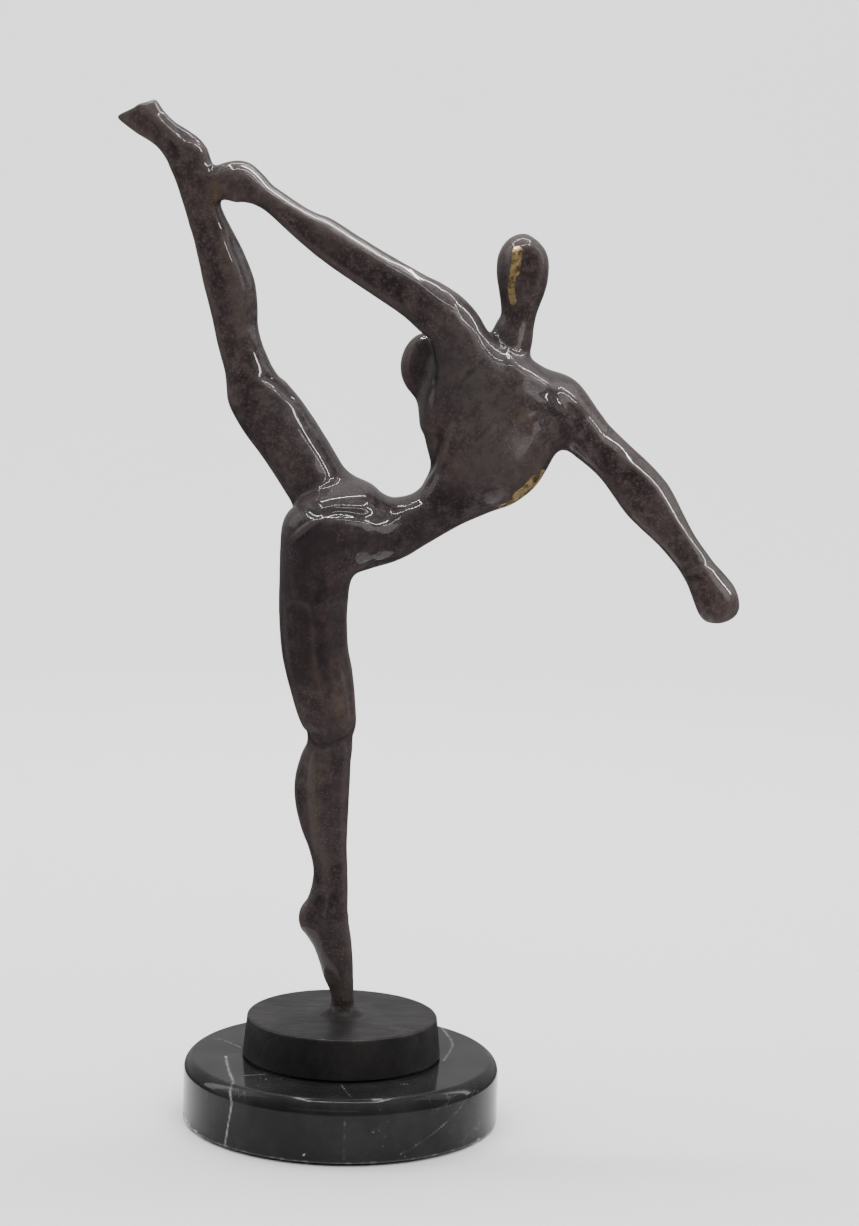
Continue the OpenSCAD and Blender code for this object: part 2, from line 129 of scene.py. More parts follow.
class Clay:
    """Distances to the skin in millimetres on a grid of cubes, negative inside.

    Its coordinates are the figure's own: millimetres, with z from the plinth's top."""

    def __init__(self, low, high, cube):
        self.low = np.array(low, float)
        self.cube = cube
        self.size = np.ceil((np.array(high) - self.low) / cube).astype(int) + 1
        self.field = np.full(self.size, REACH, np.float32)
        rows = [[cube, 0, 0, 0], [0, cube, 0, 0], [0, 0, cube, 0], [*self.low, 1]]
        self.transform = openvdb.createLinearTransform(rows)

    def block(self, points, margin):
        """The part of the grid that holds the points and a margin round them."""
        a = np.floor((points.min(0) - margin - self.low) / self.cube).astype(int)
        b = np.ceil((points.max(0) + margin - self.low) / self.cube).astype(int) + 1
        return tuple(slice(i, j) for i, j in zip(np.clip(a, 0, self.size), np.clip(b, 0, self.size)))

    def axes(self, block):
        """The x, y and z of a block's cubes, each shaped to broadcast."""
        x, y, z = (self.low[i] + self.cube * np.arange(s.start, s.stop) for i, s in enumerate(block))
        return x[:, None, None], y[None, :, None], z[None, None, :]

    def solid(self, points, quads, triangles):
        """The block and the distances of a closed mesh."""
        grid = openvdb.FloatGrid.createLevelSetFromPolygons(
            points.astype(np.float32), triangles=triangles.astype(np.uint32), quads=quads.astype(np.uint32),
            transform=self.transform, halfWidth=REACH / self.cube)
        block = self.block(points, REACH)
        part = np.full([s.stop - s.start for s in block], REACH, np.float32)
        grid.copyToArray(part, ijk=tuple(s.start for s in block))
        return block, part

    def gap_to_plane(self, block, point, outward):
        """Distances from a plane for each cube of a block, negative behind it."""
        x, y, z = self.axes(block)
        out = unit(np.array(outward, float))
        return out[0] * (x - point[0]) + out[1] * (y - point[1]) + out[2] * (z - point[2])

    def join(self, solid, fillet):
        """Adds a solid, with a fillet of that size where it meets the rest."""
        block, part = solid
        whole = self.field[block]
        near = np.clip(1 - np.abs(whole - part) / fillet, 0, 1)
        near[(whole > 0.99 * REACH) | (part > 0.99 * REACH)] = 0
        self.field[block] = np.minimum(whole, part) - near**2 * fillet / 4

    def trim(self, block, flat, fillet):
        """Takes away what lies beyond a flat, and rounds the new edge by the fillet."""
        whole = self.field[block]
        near = np.clip(1 - np.abs(whole - flat) / fillet, 0, 1)
        self.field[block] = np.maximum(whole, flat) + near**2 * fillet / 4

    def skin(self, x, z, side):
        """A point on the skin at x and z, seen from -Y for side -1 and from +Y for side 1."""
        i, k = (int(round(v)) for v in ((x - self.low[0]) / self.cube, (z - self.low[2]) / self.cube))
        column = self.field[i, :, k][::-side] if side > 0 else self.field[i, :, k]
        inside = np.flatnonzero(column < 0)
        j = inside[0] if len(inside) else int(np.argmin(column))
        j = self.size[1] - 1 - j if side > 0 else j
        return x, self.low[1] + self.cube * j, z

    def along(self, path, margin):
        """The block round a path and, for each of its cubes, how far along the path it lies, from 0
        to 1, and its squared distance from the path."""
        block = self.block(path, margin)
        x, y, z = self.axes(block)
        nearest = np.full([s.stop - s.start for s in block], 1e9, np.float32)
        place = np.zeros_like(nearest)
        for n, (a, b) in enumerate(zip(path, path[1:])):
            d = b - a
            t = ((x - a[0]) * d[0] + (y - a[1]) * d[1] + (z - a[2]) * d[2]) / (d @ d)
            t = np.clip(t, 0, 1)
            gap = (x - a[0] - t * d[0]) ** 2 + (y - a[1] - t * d[1]) ** 2 + (z - a[2] - t * d[2]) ** 2
            closer = gap < nearest
            nearest[closer] = gap[closer]
            place[closer] = (n + t)[closer]
        return block, place / (len(path) - 1), nearest

    def stroke(self, points, width, height, keen=False):
        """Raises a ridge, or with a height below 0 a groove, along a smooth line through the points.

        It fades out at both ends. A keen one comes to an edge."""
        block, place, nearest = self.along(spline(points, 6), 3 * width)
        fall = np.sqrt(nearest) / width if keen else nearest / width**2
        fade = np.clip(np.minimum(place, 1 - place) * 5, 0.15, 1)
        self.field[block] -= height * fade * np.exp(-fall)

    def stroke_skin(self, side, places, width, height, keen=False):
        """Strokes the near (-1) or far (1) skin, along a line through places given as x and z."""
        self.stroke([self.skin(x, z, side) for x, z in places], width, height, keen)

    def file(self, stations, toward, depth, first, last):
        """Files a flat along a limb from one station to another, facing a direction.

        Its depth is a share of the limb's radius. It runs out at both ends."""
        rows = spline([station[:5] for station in stations[first:last + 1]], 4)
        path = rows[:, :3]
        heading = unit(np.gradient(path, axis=0))
        out = unit(np.array(toward, float) - heading * (heading @ np.array(toward, float))[:, None])
        across = unit(np.cross([0, 1, 0], heading))
        radius = np.hypot(rows[:, 3] * (out * across).sum(1), rows[:, 4] * out[:, 1])
        share = np.linspace(0, 1, len(rows))
        run_out = np.clip(1 - share * 6, 0, 1) + np.clip(share * 6 - 5, 0, 1)
        cut = radius * (depth + (1.1 - depth) * run_out**2)
        block, place, nearest = self.along(path, rows[:, 3:5].max() * 1.5)
        x, y, z = self.axes(block)
        steps = np.arange(len(rows)) / (len(rows) - 1)
        centre, facing = ([np.interp(place, steps, v[:, i]) for i in range(3)] for v in (path, out))
        flat = sum((p - c) * n for p, c, n in zip((x, y, z), centre, facing)) - np.interp(place, steps, cut)
        beyond = nearest > 2 * np.interp(place, steps, radius) ** 2 + 30
        flat[(place <= 0) | (place >= 1) | beyond] = -REACH
        self.trim(block, flat, 0.8)

    def relax(self, times):
        """Softens facets and steps a little smaller than a cube."""
        for _ in range(times):
            for axis in range(3):
                f = np.moveaxis(self.field, axis, 0)
                f[1:-1] = (f[:-2] + 2 * f[1:-1] + f[2:]) / 4

    def facet(self, point, outward, reach):
        """Files a flat facet, in a box that reaches that far from the point."""
        spot = np.array(point, float)
        block = self.block(np.array([spot - reach, spot + reach]), 0)
        self.trim(block, self.gap_to_plane(block, point, outward), 1.0)

    def sample(self, points):
        """The distances at points, between the cubes."""
        at = (points - self.low) / self.cube
        at = np.clip(at, 0, self.size - 1.001)
        cell = at.astype(int)
        u, v, w = (at - cell).T
        i, j, k = cell.T
        f = self.field
        total = 0
        for a, wa in ((0, 1 - u), (1, u)):
            for b, wb in ((0, 1 - v), (1, v)):
                for c, wc in ((0, 1 - w), (1, w)):
                    total = total + f[i + a, j + b, k + c] * wa * wb * wc
        return total

    def normals(self, points):
        """The outward direction at points."""
        step = self.cube
        across = [self.sample(points + step * e) - self.sample(points - step * e) for e in np.eye(3)]
        return unit(np.stack(across, 1) + 1e-9)

    def relief(self, points, reach):
        """Above 0 on ridges and below 0 in hollows, per millimetre, read over a reach."""
        round_about = sum(self.sample(points + s * reach * e) for e in np.eye(3) for s in (-1, 1))
        return (round_about - 6 * self.sample(points)) / reach**2

    def shell(self):
        """The skin as points and quads, outward."""
        grid = openvdb.FloatGrid(REACH)
        grid.copyFromArray(self.field)
        grid.transform = self.transform
        points, triangles, quads = grid.convertToPolygons(0.0, 0.0)
        return points, quads.tolist() + triangles.tolist()


def limb(stations, sides=48, steps=8):
    """A closed skin round stations of x, y, z, half width in the plane of the pose, half depth and power."""
    rows = spline([(*station, 1)[:6] for station in stations], steps)
    centre = rows[:, :3]
    along = unit(np.gradient(centre, axis=0))
    across = unit(np.cross([0, 1, 0], along))
    deep = np.cross(along, across)
    turn = np.linspace(0, 2 * np.pi, sides, endpoint=False)
    c, s = np.cos(turn), np.sin(turn)
    power = rows[:, 5:6]
    u = rows[:, 3:4] * np.sign(c) * np.abs(c) ** power
    v = rows[:, 4:5] * np.sign(s) * np.abs(s) ** power
    skin = centre[:, None] + u[:, :, None] * across[:, None] + v[:, :, None] * deep[:, None]
    points = np.vstack([skin.reshape(-1, 3), centre[:1], centre[-1:]])
    ring = np.arange(sides)
    after = (ring + 1) % sides
    low = np.arange(len(rows) - 1)[:, None] * sides
    quads = np.stack([low + ring, low + after, low + sides + after, low + sides + ring], -1).reshape(-1, 4)
    top = (len(rows) - 1) * sides
    first, last = len(points) - 2, len(points) - 1
    triangles = np.vstack([
        np.stack([after, ring, np.full(sides, first)], 1),
        np.stack([top + ring, top + after, np.full(sides, last)], 1)])
    return points, quads, triangles


def ball(centre, radii, lean):
    """An ellipsoid, leaning by degrees about Y."""
    spread = np.linspace(-1, 1, 25)
    heights, rims = np.sin(spread * np.pi / 2), np.cos(spread * np.pi / 2)
    stations = [(0, 0, h, max(r, 0.01), max(r, 0.01)) for h, r in zip(heights, rims)]
    points, quads, triangles = limb(stations, 36, 2)
    a = math.radians(lean)
    turn = np.array([[math.cos(a), 0, math.sin(a)], [0, 1, 0], [-math.sin(a), 0, math.cos(a)]])
    return (points * np.array(radii)) @ turn.T + np.array(centre), quads, triangles


# ---------------------------------------------------------------- figure
# Stations run along each limb: x, y, z, half width in the plane of the pose, half depth and, where
# the section isn't an ellipse, its power (below 1 is fuller, above 1 is drawn to edges).
STANDING_LEG = [
    (-0.1, 0, -3, 5.6, 5.8), (-0.1, 0, 2, 5.5, 5.8), (-0.1, 0, 8, 5.4, 5.8), (-0.9, 0, 14, 6.1, 6.3),
    (-2.4, 0, 20, 7.3, 6.9), (-3.9, -0.5, 28, 8.3, 7.3), (-5.9, -0.5, 36.5, 9.6, 7.5, 1.05),
    (-8.7, -1, 44, 11.3, 7.2, 1.15), (-10.1, -1, 48, 12.4, 6.9, 1.2), (-8.5, -1, 54.5, 10.2, 6.8, 1.1),
    (-7.5, -1, 63, 8.8, 7), (-7.5, -1.5, 73, 8.4, 7.4), (-9, -2, 84, 9.5, 8.6),
    (-11, -2.5, 95, 11.7, 10.3), (-12.2, -3, 107, 13.1, 11.5), (-12, -3, 116, 13.2, 11.6),
    (-10.7, -3.5, 124.5, 12.2, 11), (-9.2, -4, 131, 11, 10.5), (-9, -4, 137.5, 11, 10.6),
    (-9.2, -4, 142, 12.8, 11), (-11.5, -4.5, 152, 14.4, 12.4), (-14.2, -5, 165, 15.5, 13.8),
    (-16.8, -6, 177, 15.8, 14.8), (-18.2, -7, 192, 16.1, 15.6), (-18.2, -8, 205, 16.4, 16.2),
    (-17.4, -9, 217, 17.2, 16.6), (-16.8, -9.5, 227, 17.6, 16), (-16.2, -9.5, 235, 16.2, 14.6),
    (-15.6, -9, 241, 12, 11), (-15, -9, 246, 3, 3)]
RAISED_LEG = [
    (-7, 6, 232, 6, 8), (-10.5, 7, 241, 13, 14), (-17, 8.5, 253.5, 14.8, 15.6),
    (-24.4, 10, 265.5, 15.2, 15.6), (-32, 12, 276.6, 15.4, 15.2), (-39.6, 13, 286.4, 15.6, 14.4),
    (-44, 14, 292, 15.2, 13.6), (-48, 14.5, 297.6, 14.2, 12.8), (-50.4, 15, 303.6, 12.3, 11.8),
    (-52.6, 15, 310.3, 10.9, 11), (-55.7, 15, 319, 10.4, 10.6), (-57.9, 14.5, 328.5, 10.5, 10.8),
    (-58.9, 14, 336, 11.2, 11), (-60.8, 13, 346, 12, 11), (-63.3, 12, 354.5, 11.6, 10.5),
    (-66.6, 11, 364, 10.5, 9.6), (-70.2, 9, 373, 9.2, 8.6), (-73.6, 7.5, 382, 8.5, 7.8),
    (-76.8, 6.5, 392, 8.6, 7.4), (-79.2, 6, 401, 9.6, 7.2), (-82, 5, 407.6, 9.8, 7, 1.1),
    (-86.6, 5, 412.6, 8.4, 6.8, 1.1), (-91.2, 4, 416.4, 7.3, 6, 1.05), (-95.8, 3.5, 420, 7.8, 4.8),
    (-99.9, 3, 423.3, 8.9, 3.9), (-105.6, 2.5, 429.1, 10.7, 2.9), (-113.2, 2, 437, 12.2, 1.6)]
TRAILING_ARM = [
    (66, -3, 310, 5, 6), (56.6, -5, 318.4, 7.4, 10.5), (48.4, -7, 327.2, 12, 12),
    (40.4, -8.5, 335.4, 12.6, 12), (32.2, -9.5, 341.4, 11.9, 11), (25, -10, 345.8, 10.7, 10.2, 0.8),
    (15.2, -10, 351.6, 10.2, 9.6, 0.8), (3.8, -10, 358.2, 9.8, 9.2, 0.8), (-7, -9, 364.8, 9.5, 9, 0.8),
    (-17.6, -8, 371.7, 9.2, 8.8, 0.8), (-23.6, -7, 375, 8, 8.2, 0.8), (-30.2, -6, 379.3, 6.9, 7.6, 0.8),
    (-39.2, -4, 386, 6.1, 6.6), (-45.2, -2, 389.9, 6.2, 6.4), (-50.6, 0, 393.3, 8, 7),
    (-56.2, 1.5, 395.6, 9.9, 8), (-62.5, 3, 395.8, 9, 8), (-69, 4.5, 394.5, 6.8, 6.5),
    (-73, 5.5, 394, 5, 5)]
REACHING_ARM = [
    (74, 0, 303, 6, 6), (83, 2, 299, 10.8, 9.5), (93.2, 4, 294.2, 14.4, 12),
    (100.9, 5.5, 289.2, 13.7, 12), (106.6, 6, 284.4, 12.1, 11), (112.4, 6, 279, 11, 10),
    (119.6, 6, 272.9, 10.5, 9.4, 0.8), (125, 5.5, 267.8, 10.7, 9.4, 0.8),
    (131.1, 5, 261.4, 11.6, 9.6, 0.8), (137.6, 4, 253.7, 12.2, 9.6, 0.8), (142.6, 3, 247.5, 11.4, 9, 0.8),
    (148.4, 2, 240.2, 9.7, 8.2, 0.8), (154.7, 1, 232, 8.2, 7.6, 0.8), (160.7, 0, 224.3, 7.8, 7.2, 0.8),
    (164.7, -1, 218.7, 8.2, 7.4), (168.5, -2, 213.2, 9.4, 7.6), (172, -3, 207.3, 10.5, 7.4, 0.95),
    (174.2, -3.5, 201.8, 10.1, 6.4, 0.95), (175.6, -4, 197.6, 7.8, 4.6), (176.3, -4, 195.3, 2.5, 1.6)]
HEAD = [
    (69.5, 0, 312, 7, 8), (70.5, 0, 319, 9.4, 9.4), (71.6, 0, 325.5, 10, 9.4),
    (72.8, 0, 330.6, 9.4, 9), (74.3, 0, 335.6, 8.3, 8.4), (75, 0, 341, 8.9, 9.4),
    (75.5, 0, 346.5, 10.3, 11), (75.9, 0, 352.5, 11.8, 12.6), (76, 0, 358.5, 12.3, 13.4),
    (76, 0, 364.5, 11.9, 12.8), (76.2, 0, 369.6, 9.7, 10.4), (76.6, 0, 373.4, 6, 6.6),
    (77, 0, 375.6, 1.2, 1.4)]
TORSO = [
    (-20, 0, 238, 6, 9), (-12, 0, 238, 16, 18), (3, 0, 236.2, 21, 22),
    (12.5, 0, 235.6, 17.6, 20), (20, 0, 236.6, 15, 17.6), (27, 0, 239.2, 13, 16),
    (33.4, 0, 242.4, 12.1, 15.5), (39, 0, 246.2, 12.6, 15), (44, 0, 250.8, 14.6, 15.5),
    (49, 0, 256, 18, 16), (53.3, 0, 261.4, 22.9, 17), (57.7, 0, 267.4, 26.6, 18),
    (61.2, 0, 274, 29.8, 19, 0.95), (63.2, 0, 282, 32.6, 19.5, 0.9), (64.6, 0, 290, 34.2, 19, 0.9),
    (66.4, 0, 298, 33.4, 17.5, 0.9), (69, 0, 306, 29.6, 15.5, 0.95), (71.6, 0, 312.5, 22, 13),
    (73.6, 0, 317, 11, 8), (74.6, 0, 319.6, 4, 4)]
# Swells on the torso: centre, radii, lean.
SWELLS = [
    ((-11, -8, 237), (21, 19, 16), 0),  # near hip
    ((-10, 10, 246), (17, 16, 16), 20),  # far hip
    ((33.5, 9, 312.5), (13.5, 10, 16), 0),  # far shoulder blade
    ((44, 0, 281.5), (8, 11, 12), 0),  # inner waist
    ((40.4, 3, 291), (8.4, 9, 14), 0),  # under the far blade
    ((70, -8, 267), (13, 11, 12), 0),  # near ribs
    ((92.5, 4, 297.4), (12.7, 12, 12.7), 30),  # reaching shoulder
    ((54, -7, 312), (17, 12, 15), 0),  # near shoulder
    ((78, -5, 303), (15, 12, 12), 30),  # reaching side of the chest
]
# Further limbs in the order they are joined, each with the fillet at its root.
JOINED = [(REACHING_ARM, 8), (TRAILING_ARM, 8), (HEAD, 3.5), (STANDING_LEG, 7)]
# The raised toes end in a flat cut: a point on it and its outward direction.
TOE_CUT = ((-105, 2, 429.3), (-0.42, 0, 0.91))

# Ridges and, with heights below 0, grooves on the near (-1) or far (1) skin: side, places as x and
# z, width, height, and True for a keen one.
MARKS = [
    # shoulders and chest
    (-1, [(68.5, 323), (72, 316.5), (77, 310.5), (85, 307.5), (94, 303)], 3, 1.1, True),
    (-1, [(76, 306.5), (84, 303.5), (93, 299), (101, 292)], 3.6, -0.6),
    (-1, [(71.5, 304), (80, 301.5), (90, 297.5), (99, 291)], 4, 0.45),
    (-1, [(70, 323.5), (60, 318), (52, 311), (45, 302)], 3, -0.45),
    (-1, [(78, 293), (79, 289)], 5, 0.7),
    (-1, [(31, 330), (34.5, 321), (36, 311), (36, 303)], 2.4, -0.9),
    (-1, [(45, 291), (44, 285), (42.5, 279), (39.5, 269), (35, 260), (29, 250), (22, 245)], 1.5, 0.9, True),
    (-1, [(39, 288), (38.5, 277), (36, 267), (31.5, 258)], 3.2, -0.8),
    (-1, [(60, 285), (66, 280), (76, 268)], 8, 0.8),
    # trailing arm: over the shoulder to the collar
    (-1, [(14, 361.5), (27.5, 355.5), (39.5, 349.5)], 1.4, 0.7, True),
    (-1, [(38, 351), (43.5, 344), (46, 335.5), (52, 330.5), (60, 326)], 1.4, 0.7, True),
    # reaching arm: an edge down its top and a flat band under it
    (-1, [(94, 303), (100, 299.5), (106, 295), (112, 287), (117, 279.5)], 3.6, 0.9),
    (-1, [(117, 278), (124, 273.5), (130, 269), (140, 260.5), (146, 252.5), (152, 243), (160, 233),
          (172, 219.5)], 1.5, 0.85, True),
    (-1, [(127, 268.5), (136, 260), (144, 250), (151.5, 238.5), (158, 229)], 2, -0.3),
    (-1, [(126, 271), (133, 262.5), (141.5, 253), (150, 240), (157, 229.5), (162.5, 221)], 1.4, 0.5, True),
    (-1, [(158, 218.5), (162, 220.5), (166, 221.5), (172, 220)], 1.5, 1, True),
    # hip and standing leg
    (-1, [(-30, 246), (-19, 244.5), (-6, 245), (8, 244), (20, 243)], 3, -0.9),
    (-1, [(-24, 238), (-22, 235)], 6, 0.9),
    (-1, [(-17, 224), (-16, 213), (-15.5, 199), (-13.5, 180.5), (-11.5, 166), (-10, 157)], 3, -0.5),
    (-1, [(-5, 172), (-3.5, 163), (-1.5, 153), (0, 144)], 2.4, 1, True),
    (-1, [(-24, 143), (-20.4, 139), (-15.7, 134), (-10.4, 134.4), (-3.2, 137), (2, 140)], 1.6, -0.35),
    (-1, [(-20, 145), (-15, 140), (-9, 140)], 2.4, 0.3),
    (-1, [(-17, 134), (-17.5, 119), (-16.5, 103), (-15.5, 88), (-13.5, 74)], 2.2, 0.8, True),
    (-1, [(-13.5, 70), (-12.5, 62), (-11, 51)], 1.8, -0.3),
    (-1, [(-4, 64), (-5.5, 58), (-7.5, 50)], 1.8, -0.3),
    # raised leg and foot
    (-1, [(-54.5, 313.5), (-50.5, 306.5), (-43, 301.5), (-34, 294.5), (-26, 289)], 2.4, 1.1, True),
    (-1, [(-44, 306), (-36, 301), (-29, 294)], 2.2, -1.3),
    (-1, [(-66, 372), (-60, 355), (-56, 337), (-54, 321)], 2.8, 0.9, True),
    (-1, [(-84, 413), (-77, 411.5), (-71.5, 409)], 1.6, 0.9, True),
    (-1, [(-106, 432), (-102, 428), (-96, 423), (-89, 417), (-82, 409)], 2.4, 0.9),
    # back: spine, shoulder blades, cleft
    (1, [(73, 318), (66, 305), (60, 290), (55, 275), (48, 260), (38, 249), (24, 243)], 4, -2.6),
    (1, [(84, 306), (80, 294), (74, 284)], 6, 1.8),
    (1, [(-26, 236), (-14, 246), (-2, 252)], 4, -1.5),
]
# Facets on the head: a point on each, its outward direction, and how far it reaches.
FACETS = [
    ((68.9, -11.8, 359), (-0.86, -0.50, 0.06), 14.5),  # the ridge's side toward the raised leg
    ((69.6, -11.9, 359), (0.12, -0.99, 0.06), 14.5),  # the ridge's side toward the viewer
]
# Flats filed along the limbs: stations, direction faced, depth, first and last station.
FILED = [
    (TRAILING_ARM, (-0.1, -0.97, -0.2), 0.92, 5, 12),
    (STANDING_LEG, (0.35, -0.94, 0), 0.91, 8, 18),
    (STANDING_LEG, (-0.75, -0.66, 0), 0.9, 9, 18),
    (STANDING_LEG, (-0.45, -0.9, 0), 0.9, 19, 24),
    (STANDING_LEG, (0.7, -0.7, 0), 0.9, 19, 24),
    (RAISED_LEG, (-0.45, -0.9, 0), 0.9, 8, 17),
    (RAISED_LEG, (0.75, -0.6, 0.3), 0.88, 10, 16),
]
# Where castings are brazed together: a point in the joint and a direction across it. All but the
# last are pinned with a dowel.
SECTIONS = [
    ((-18.5, -7, 192), (-1.3, -2, 28)),  # thigh of the standing leg
    ((-31, 12, 277), (-15, 3, 21)),  # thigh of the raised leg
    ((25, -10, 345.8), (-17, -0.5, 10)),  # upper trailing arm
    ((112.6, 6, 279.3), (13.4, 0, -11.6)),  # upper reaching arm
    ((74, 0, 335.6), (2.6, 0, 11)),  # neck
    ((-66.6, 4, 395), (-9.5, 0, -2.6)),  # hand on the ankle
]
# A place on each casting, and the CAD node that it stands for.
CASTINGS = {
    "torso": (20, 0, 250), "head": (75, 0, 374), "standing_leg": (-10, 0, 100), "raised_leg": (-60, 12, 350),
    "trailing_arm": (-10, -9, 366), "reaching_arm": (150, 2, 238),
}
# Holes for a dowel and for the foot pin: diameter and length. The pin stands at PIN_X.
DOWEL_HOLE = (4.1, 16.1)
PIN_HOLE = (5.1, 28.4)
PIN_X = -0.5

# How the patina varies over the near skin, with painted shade under the trailing arm: places as x and z, reach,
# strength.
PATINA = {
    "worn": [  # to bare metal
        ([(72.6, 367.5), (72.4, 363), (71.8, 358)], 2.5, 1),
        ([(71.4, 359), (70.3, 351), (71.4, 344)], 1.6, 1),
        ([(84, 260.5), (81, 256.5), (77, 253)], 3.6, 0.95),
        ([(88, 265), (82, 257), (75, 251), (69, 248)], 1.6, 0.8),
        ([(-106, 434), (-114, 426)], 1.3, 0.5),
    ],
    "thin": [  # and golden brown
        ([(-68, 384), (-68, 392)], 4.5, 1),
        ([(-73.5, 400)], 2, 0.8),
        ([(169, 216), (174, 208), (176, 203)], 3.5, 0.6),
        ([(31, 294), (45, 268)], 5, 0.4),
        ([(-14, 224), (-16, 160)], 7, 0.35),
        ([(-7, 172), (-4, 148)], 4, 0.7),
        ([(-14, 120), (-16, 95)], 5, 0.5),
        ([(-60, 345), (-64, 366)], 5, 0.35),
        ([(88, 265), (78, 254)], 7, 0.5),
        ([(78, 292), (79, 289)], 4, 0.9),
    ],
    "dry": [  # greyer, with little wax
        ([(52, 312), (64, 292), (62, 272)], 20, 0.9),
        ([(-45, 300), (-30, 275)], 14, 0.35),
        ([(-5, 175), (-5, 140), (-14, 115), (-9, 60), (-4, 20)], 12, 0.3),
    ],
    # the darkest tone: painted shade under the trailing arm and in the hollow below it, and darker at the hip,
    # along the waist and down the standing leg
    "deep": [  # darkest
        ([(-20, 232), (-18, 205), (-16, 175)], 17, 0.8),
        ([(-8, 228), (25, 236), (46, 250)], 9, 0.6),
        # painted shade along the underside of the trailing arm
        ([(30, 337), (0, 352), (-25, 368)], 5, 0.4),
        # painted shade in the hollow under the trailing arm's root
        ([(30, 312), (31, 300)], 12, 0.5),
        ([(-10, 140), (-12, 100), (-8, 60)], 14, 0.35),
        ([(-9, 50), (-3, 18)], 12, 0.4),
    ],
}


def foot_of_casting(clay):
    """A disc just under the toe, which the leg's fillet runs out over."""
    radius, sunk = 13, 0.15
    block = clay.block(np.array([(-16, -16, -6), (16, 16, 8)], float), 0)
    x, y, z = clay.axes(block)
    return block, np.maximum(np.hypot(x - PIN_X, y) - radius, z + sunk).astype(np.float32)


def hand_finish(clay):
    """Low waves left by hand finishing, in a few fixed directions."""
    lengths, steepness = (26, 21, 17, 14, 12, 10, 8.5, 7), 0.0012
    rng = np.random.default_rng(7)
    x, y, z = clay.axes(tuple(slice(0, n) for n in clay.size))
    near = np.abs(clay.field) < 2
    i, j, k = np.nonzero(near)
    x, y, z = x.ravel()[i], y.ravel()[j], z.ravel()[k]
    wave = np.zeros(len(i))
    for length in lengths:
        for _ in range(2):
            d = unit(rng.normal(size=3)) * 2 * np.pi / length
            wave += steepness * length * np.sin(d[0] * x + d[1] * y + d[2] * z + rng.uniform(0, 2 * np.pi))
    clay.field[near] += wave.astype(np.float32)


def build_figure():
    """The clay of the figure with its marks."""
    low, high, cube = (-122, -42, -6), (192, 44, 442), 0.8
    swell_fillet, leg_fillet, foot_fillet = 9, 4, 8
    clay = Clay(low, high, cube)
    clay.join(clay.solid(*limb(TORSO)), 1)
    for swell in SWELLS:
        clay.join(clay.solid(*ball(*swell)), swell_fillet)
    for stations, fillet in JOINED:
        clay.join(clay.solid(*limb(stations)), fillet)
    block, leg = clay.solid(*limb(RAISED_LEG))
    cut = clay.gap_to_plane(block, *TOE_CUT).astype(np.float32)
    clay.join((block, np.maximum(leg, cut)), leg_fillet)
    hand_finish(clay)
    clay.relax(2)
    for facet in FACETS:
        clay.facet(*facet)
    for flat in FILED:
        clay.file(*flat)
    clay.relax(1)
    for mark in MARKS:
        clay.stroke_skin(*mark)
    clay.join(foot_of_casting(clay), foot_fillet)
    return clay


def loops_of(edges):
    """Cut edges as closed loops, in a fixed order."""
    left = dict.fromkeys(edges)
    loops = []
    while left:
        loop = [next(iter(left))]
        left.pop(loop[0])
        for edge in loop:
            for e in (e for v in edge.verts for e in v.link_edges if e in left):
                left.pop(e)
                loop.append(e)
        loops.append(loop)
    return loops


def saw(bm, point, across):
    """Cuts the limb through a point, and closes both ends with flat caps."""
    reach, fewest = 26, 12
    at = Vector(point)
    faces = [f for f in bm.faces if (f.verts[0].co - at).length < reach]
    parts = dict.fromkeys(p for f in faces for p in (*f.verts, *f.edges))
    cut = bmesh.ops.bisect_plane(bm, geom=[*faces, *parts], plane_co=at, plane_no=Vector(across), dist=1e-5)
    edges = [e for e in cut["geom_cut"] if isinstance(e, bmesh.types.BMEdge)]

    def off(loop):
        return (sum((v.co for e in loop for v in e.verts), Vector()) / (2 * len(loop)) - at).length

    loop = min((g for g in loops_of(edges) if len(g) > fewest), key=off)
    rims = bmesh.ops.split_edges(bm, edges=loop)["edges"]
    for rim in loops_of(rims):
        for cap in bmesh.ops.holes_fill(bm, edges=rim, sides=0)["faces"]:
            cap.material_index = 1


def islands(bm):
    """The separate pieces of a mesh, as lists of faces in a fixed order."""
    left = dict.fromkeys(bm.faces)
    while left:
        found = [next(iter(left))]
        left.pop(found[0])
        for face in found:
            for f in (f for e in face.edges for f in e.link_faces if f in left):
                left.pop(f)
                found.append(f)
        yield found


def drill(piece, point, along, size):
    """A round hole centred on a point, its size given as diameter and length."""
    radius, length = size[0] / 2, size[1]
    turn = Vector(along).to_track_quat("Z", "Y").to_matrix().to_4x4()
    bm = bmesh.new()
    bmesh.ops.create_cone(bm, cap_ends=True, segments=48, radius1=radius, radius2=radius, depth=length,
                          matrix=Matrix.Translation(point) @ turn)
    for f in bm.faces:
        f.material_index = 1
    cutter = link("drill", bpy.data.meshes.new("drill"))
    bm.to_mesh(cutter.data)
    bm.free()
    for material in piece.data.materials:
        cutter.data.materials.append(material)
    hole = piece.modifiers.new("hole", "BOOLEAN")
    hole.solver = "MANIFOLD"
    hole.object = cutter
    bpy.context.view_layer.update()
    done = bpy.data.meshes.new_from_object(piece.evaluated_get(bpy.context.evaluated_depsgraph_get()))
    piece.modifiers.clear()
    piece.data = done
    bpy.data.objects.remove(cutter)


def near_places(points, spots):
    """From 0 to 1, how near each point of the near skin is to any of the spots."""
    most = np.zeros(len(points))
    flat = points[:, [0, 2]]
    for places, reach, strength in spots:
        path = spline(places, 8)
        gap = np.min([((flat - p) ** 2).sum(1) for p in path], axis=0)
        most = np.maximum(most, strength * np.exp(-gap / reach**2))
    return most * (points[:, 1] < 2)


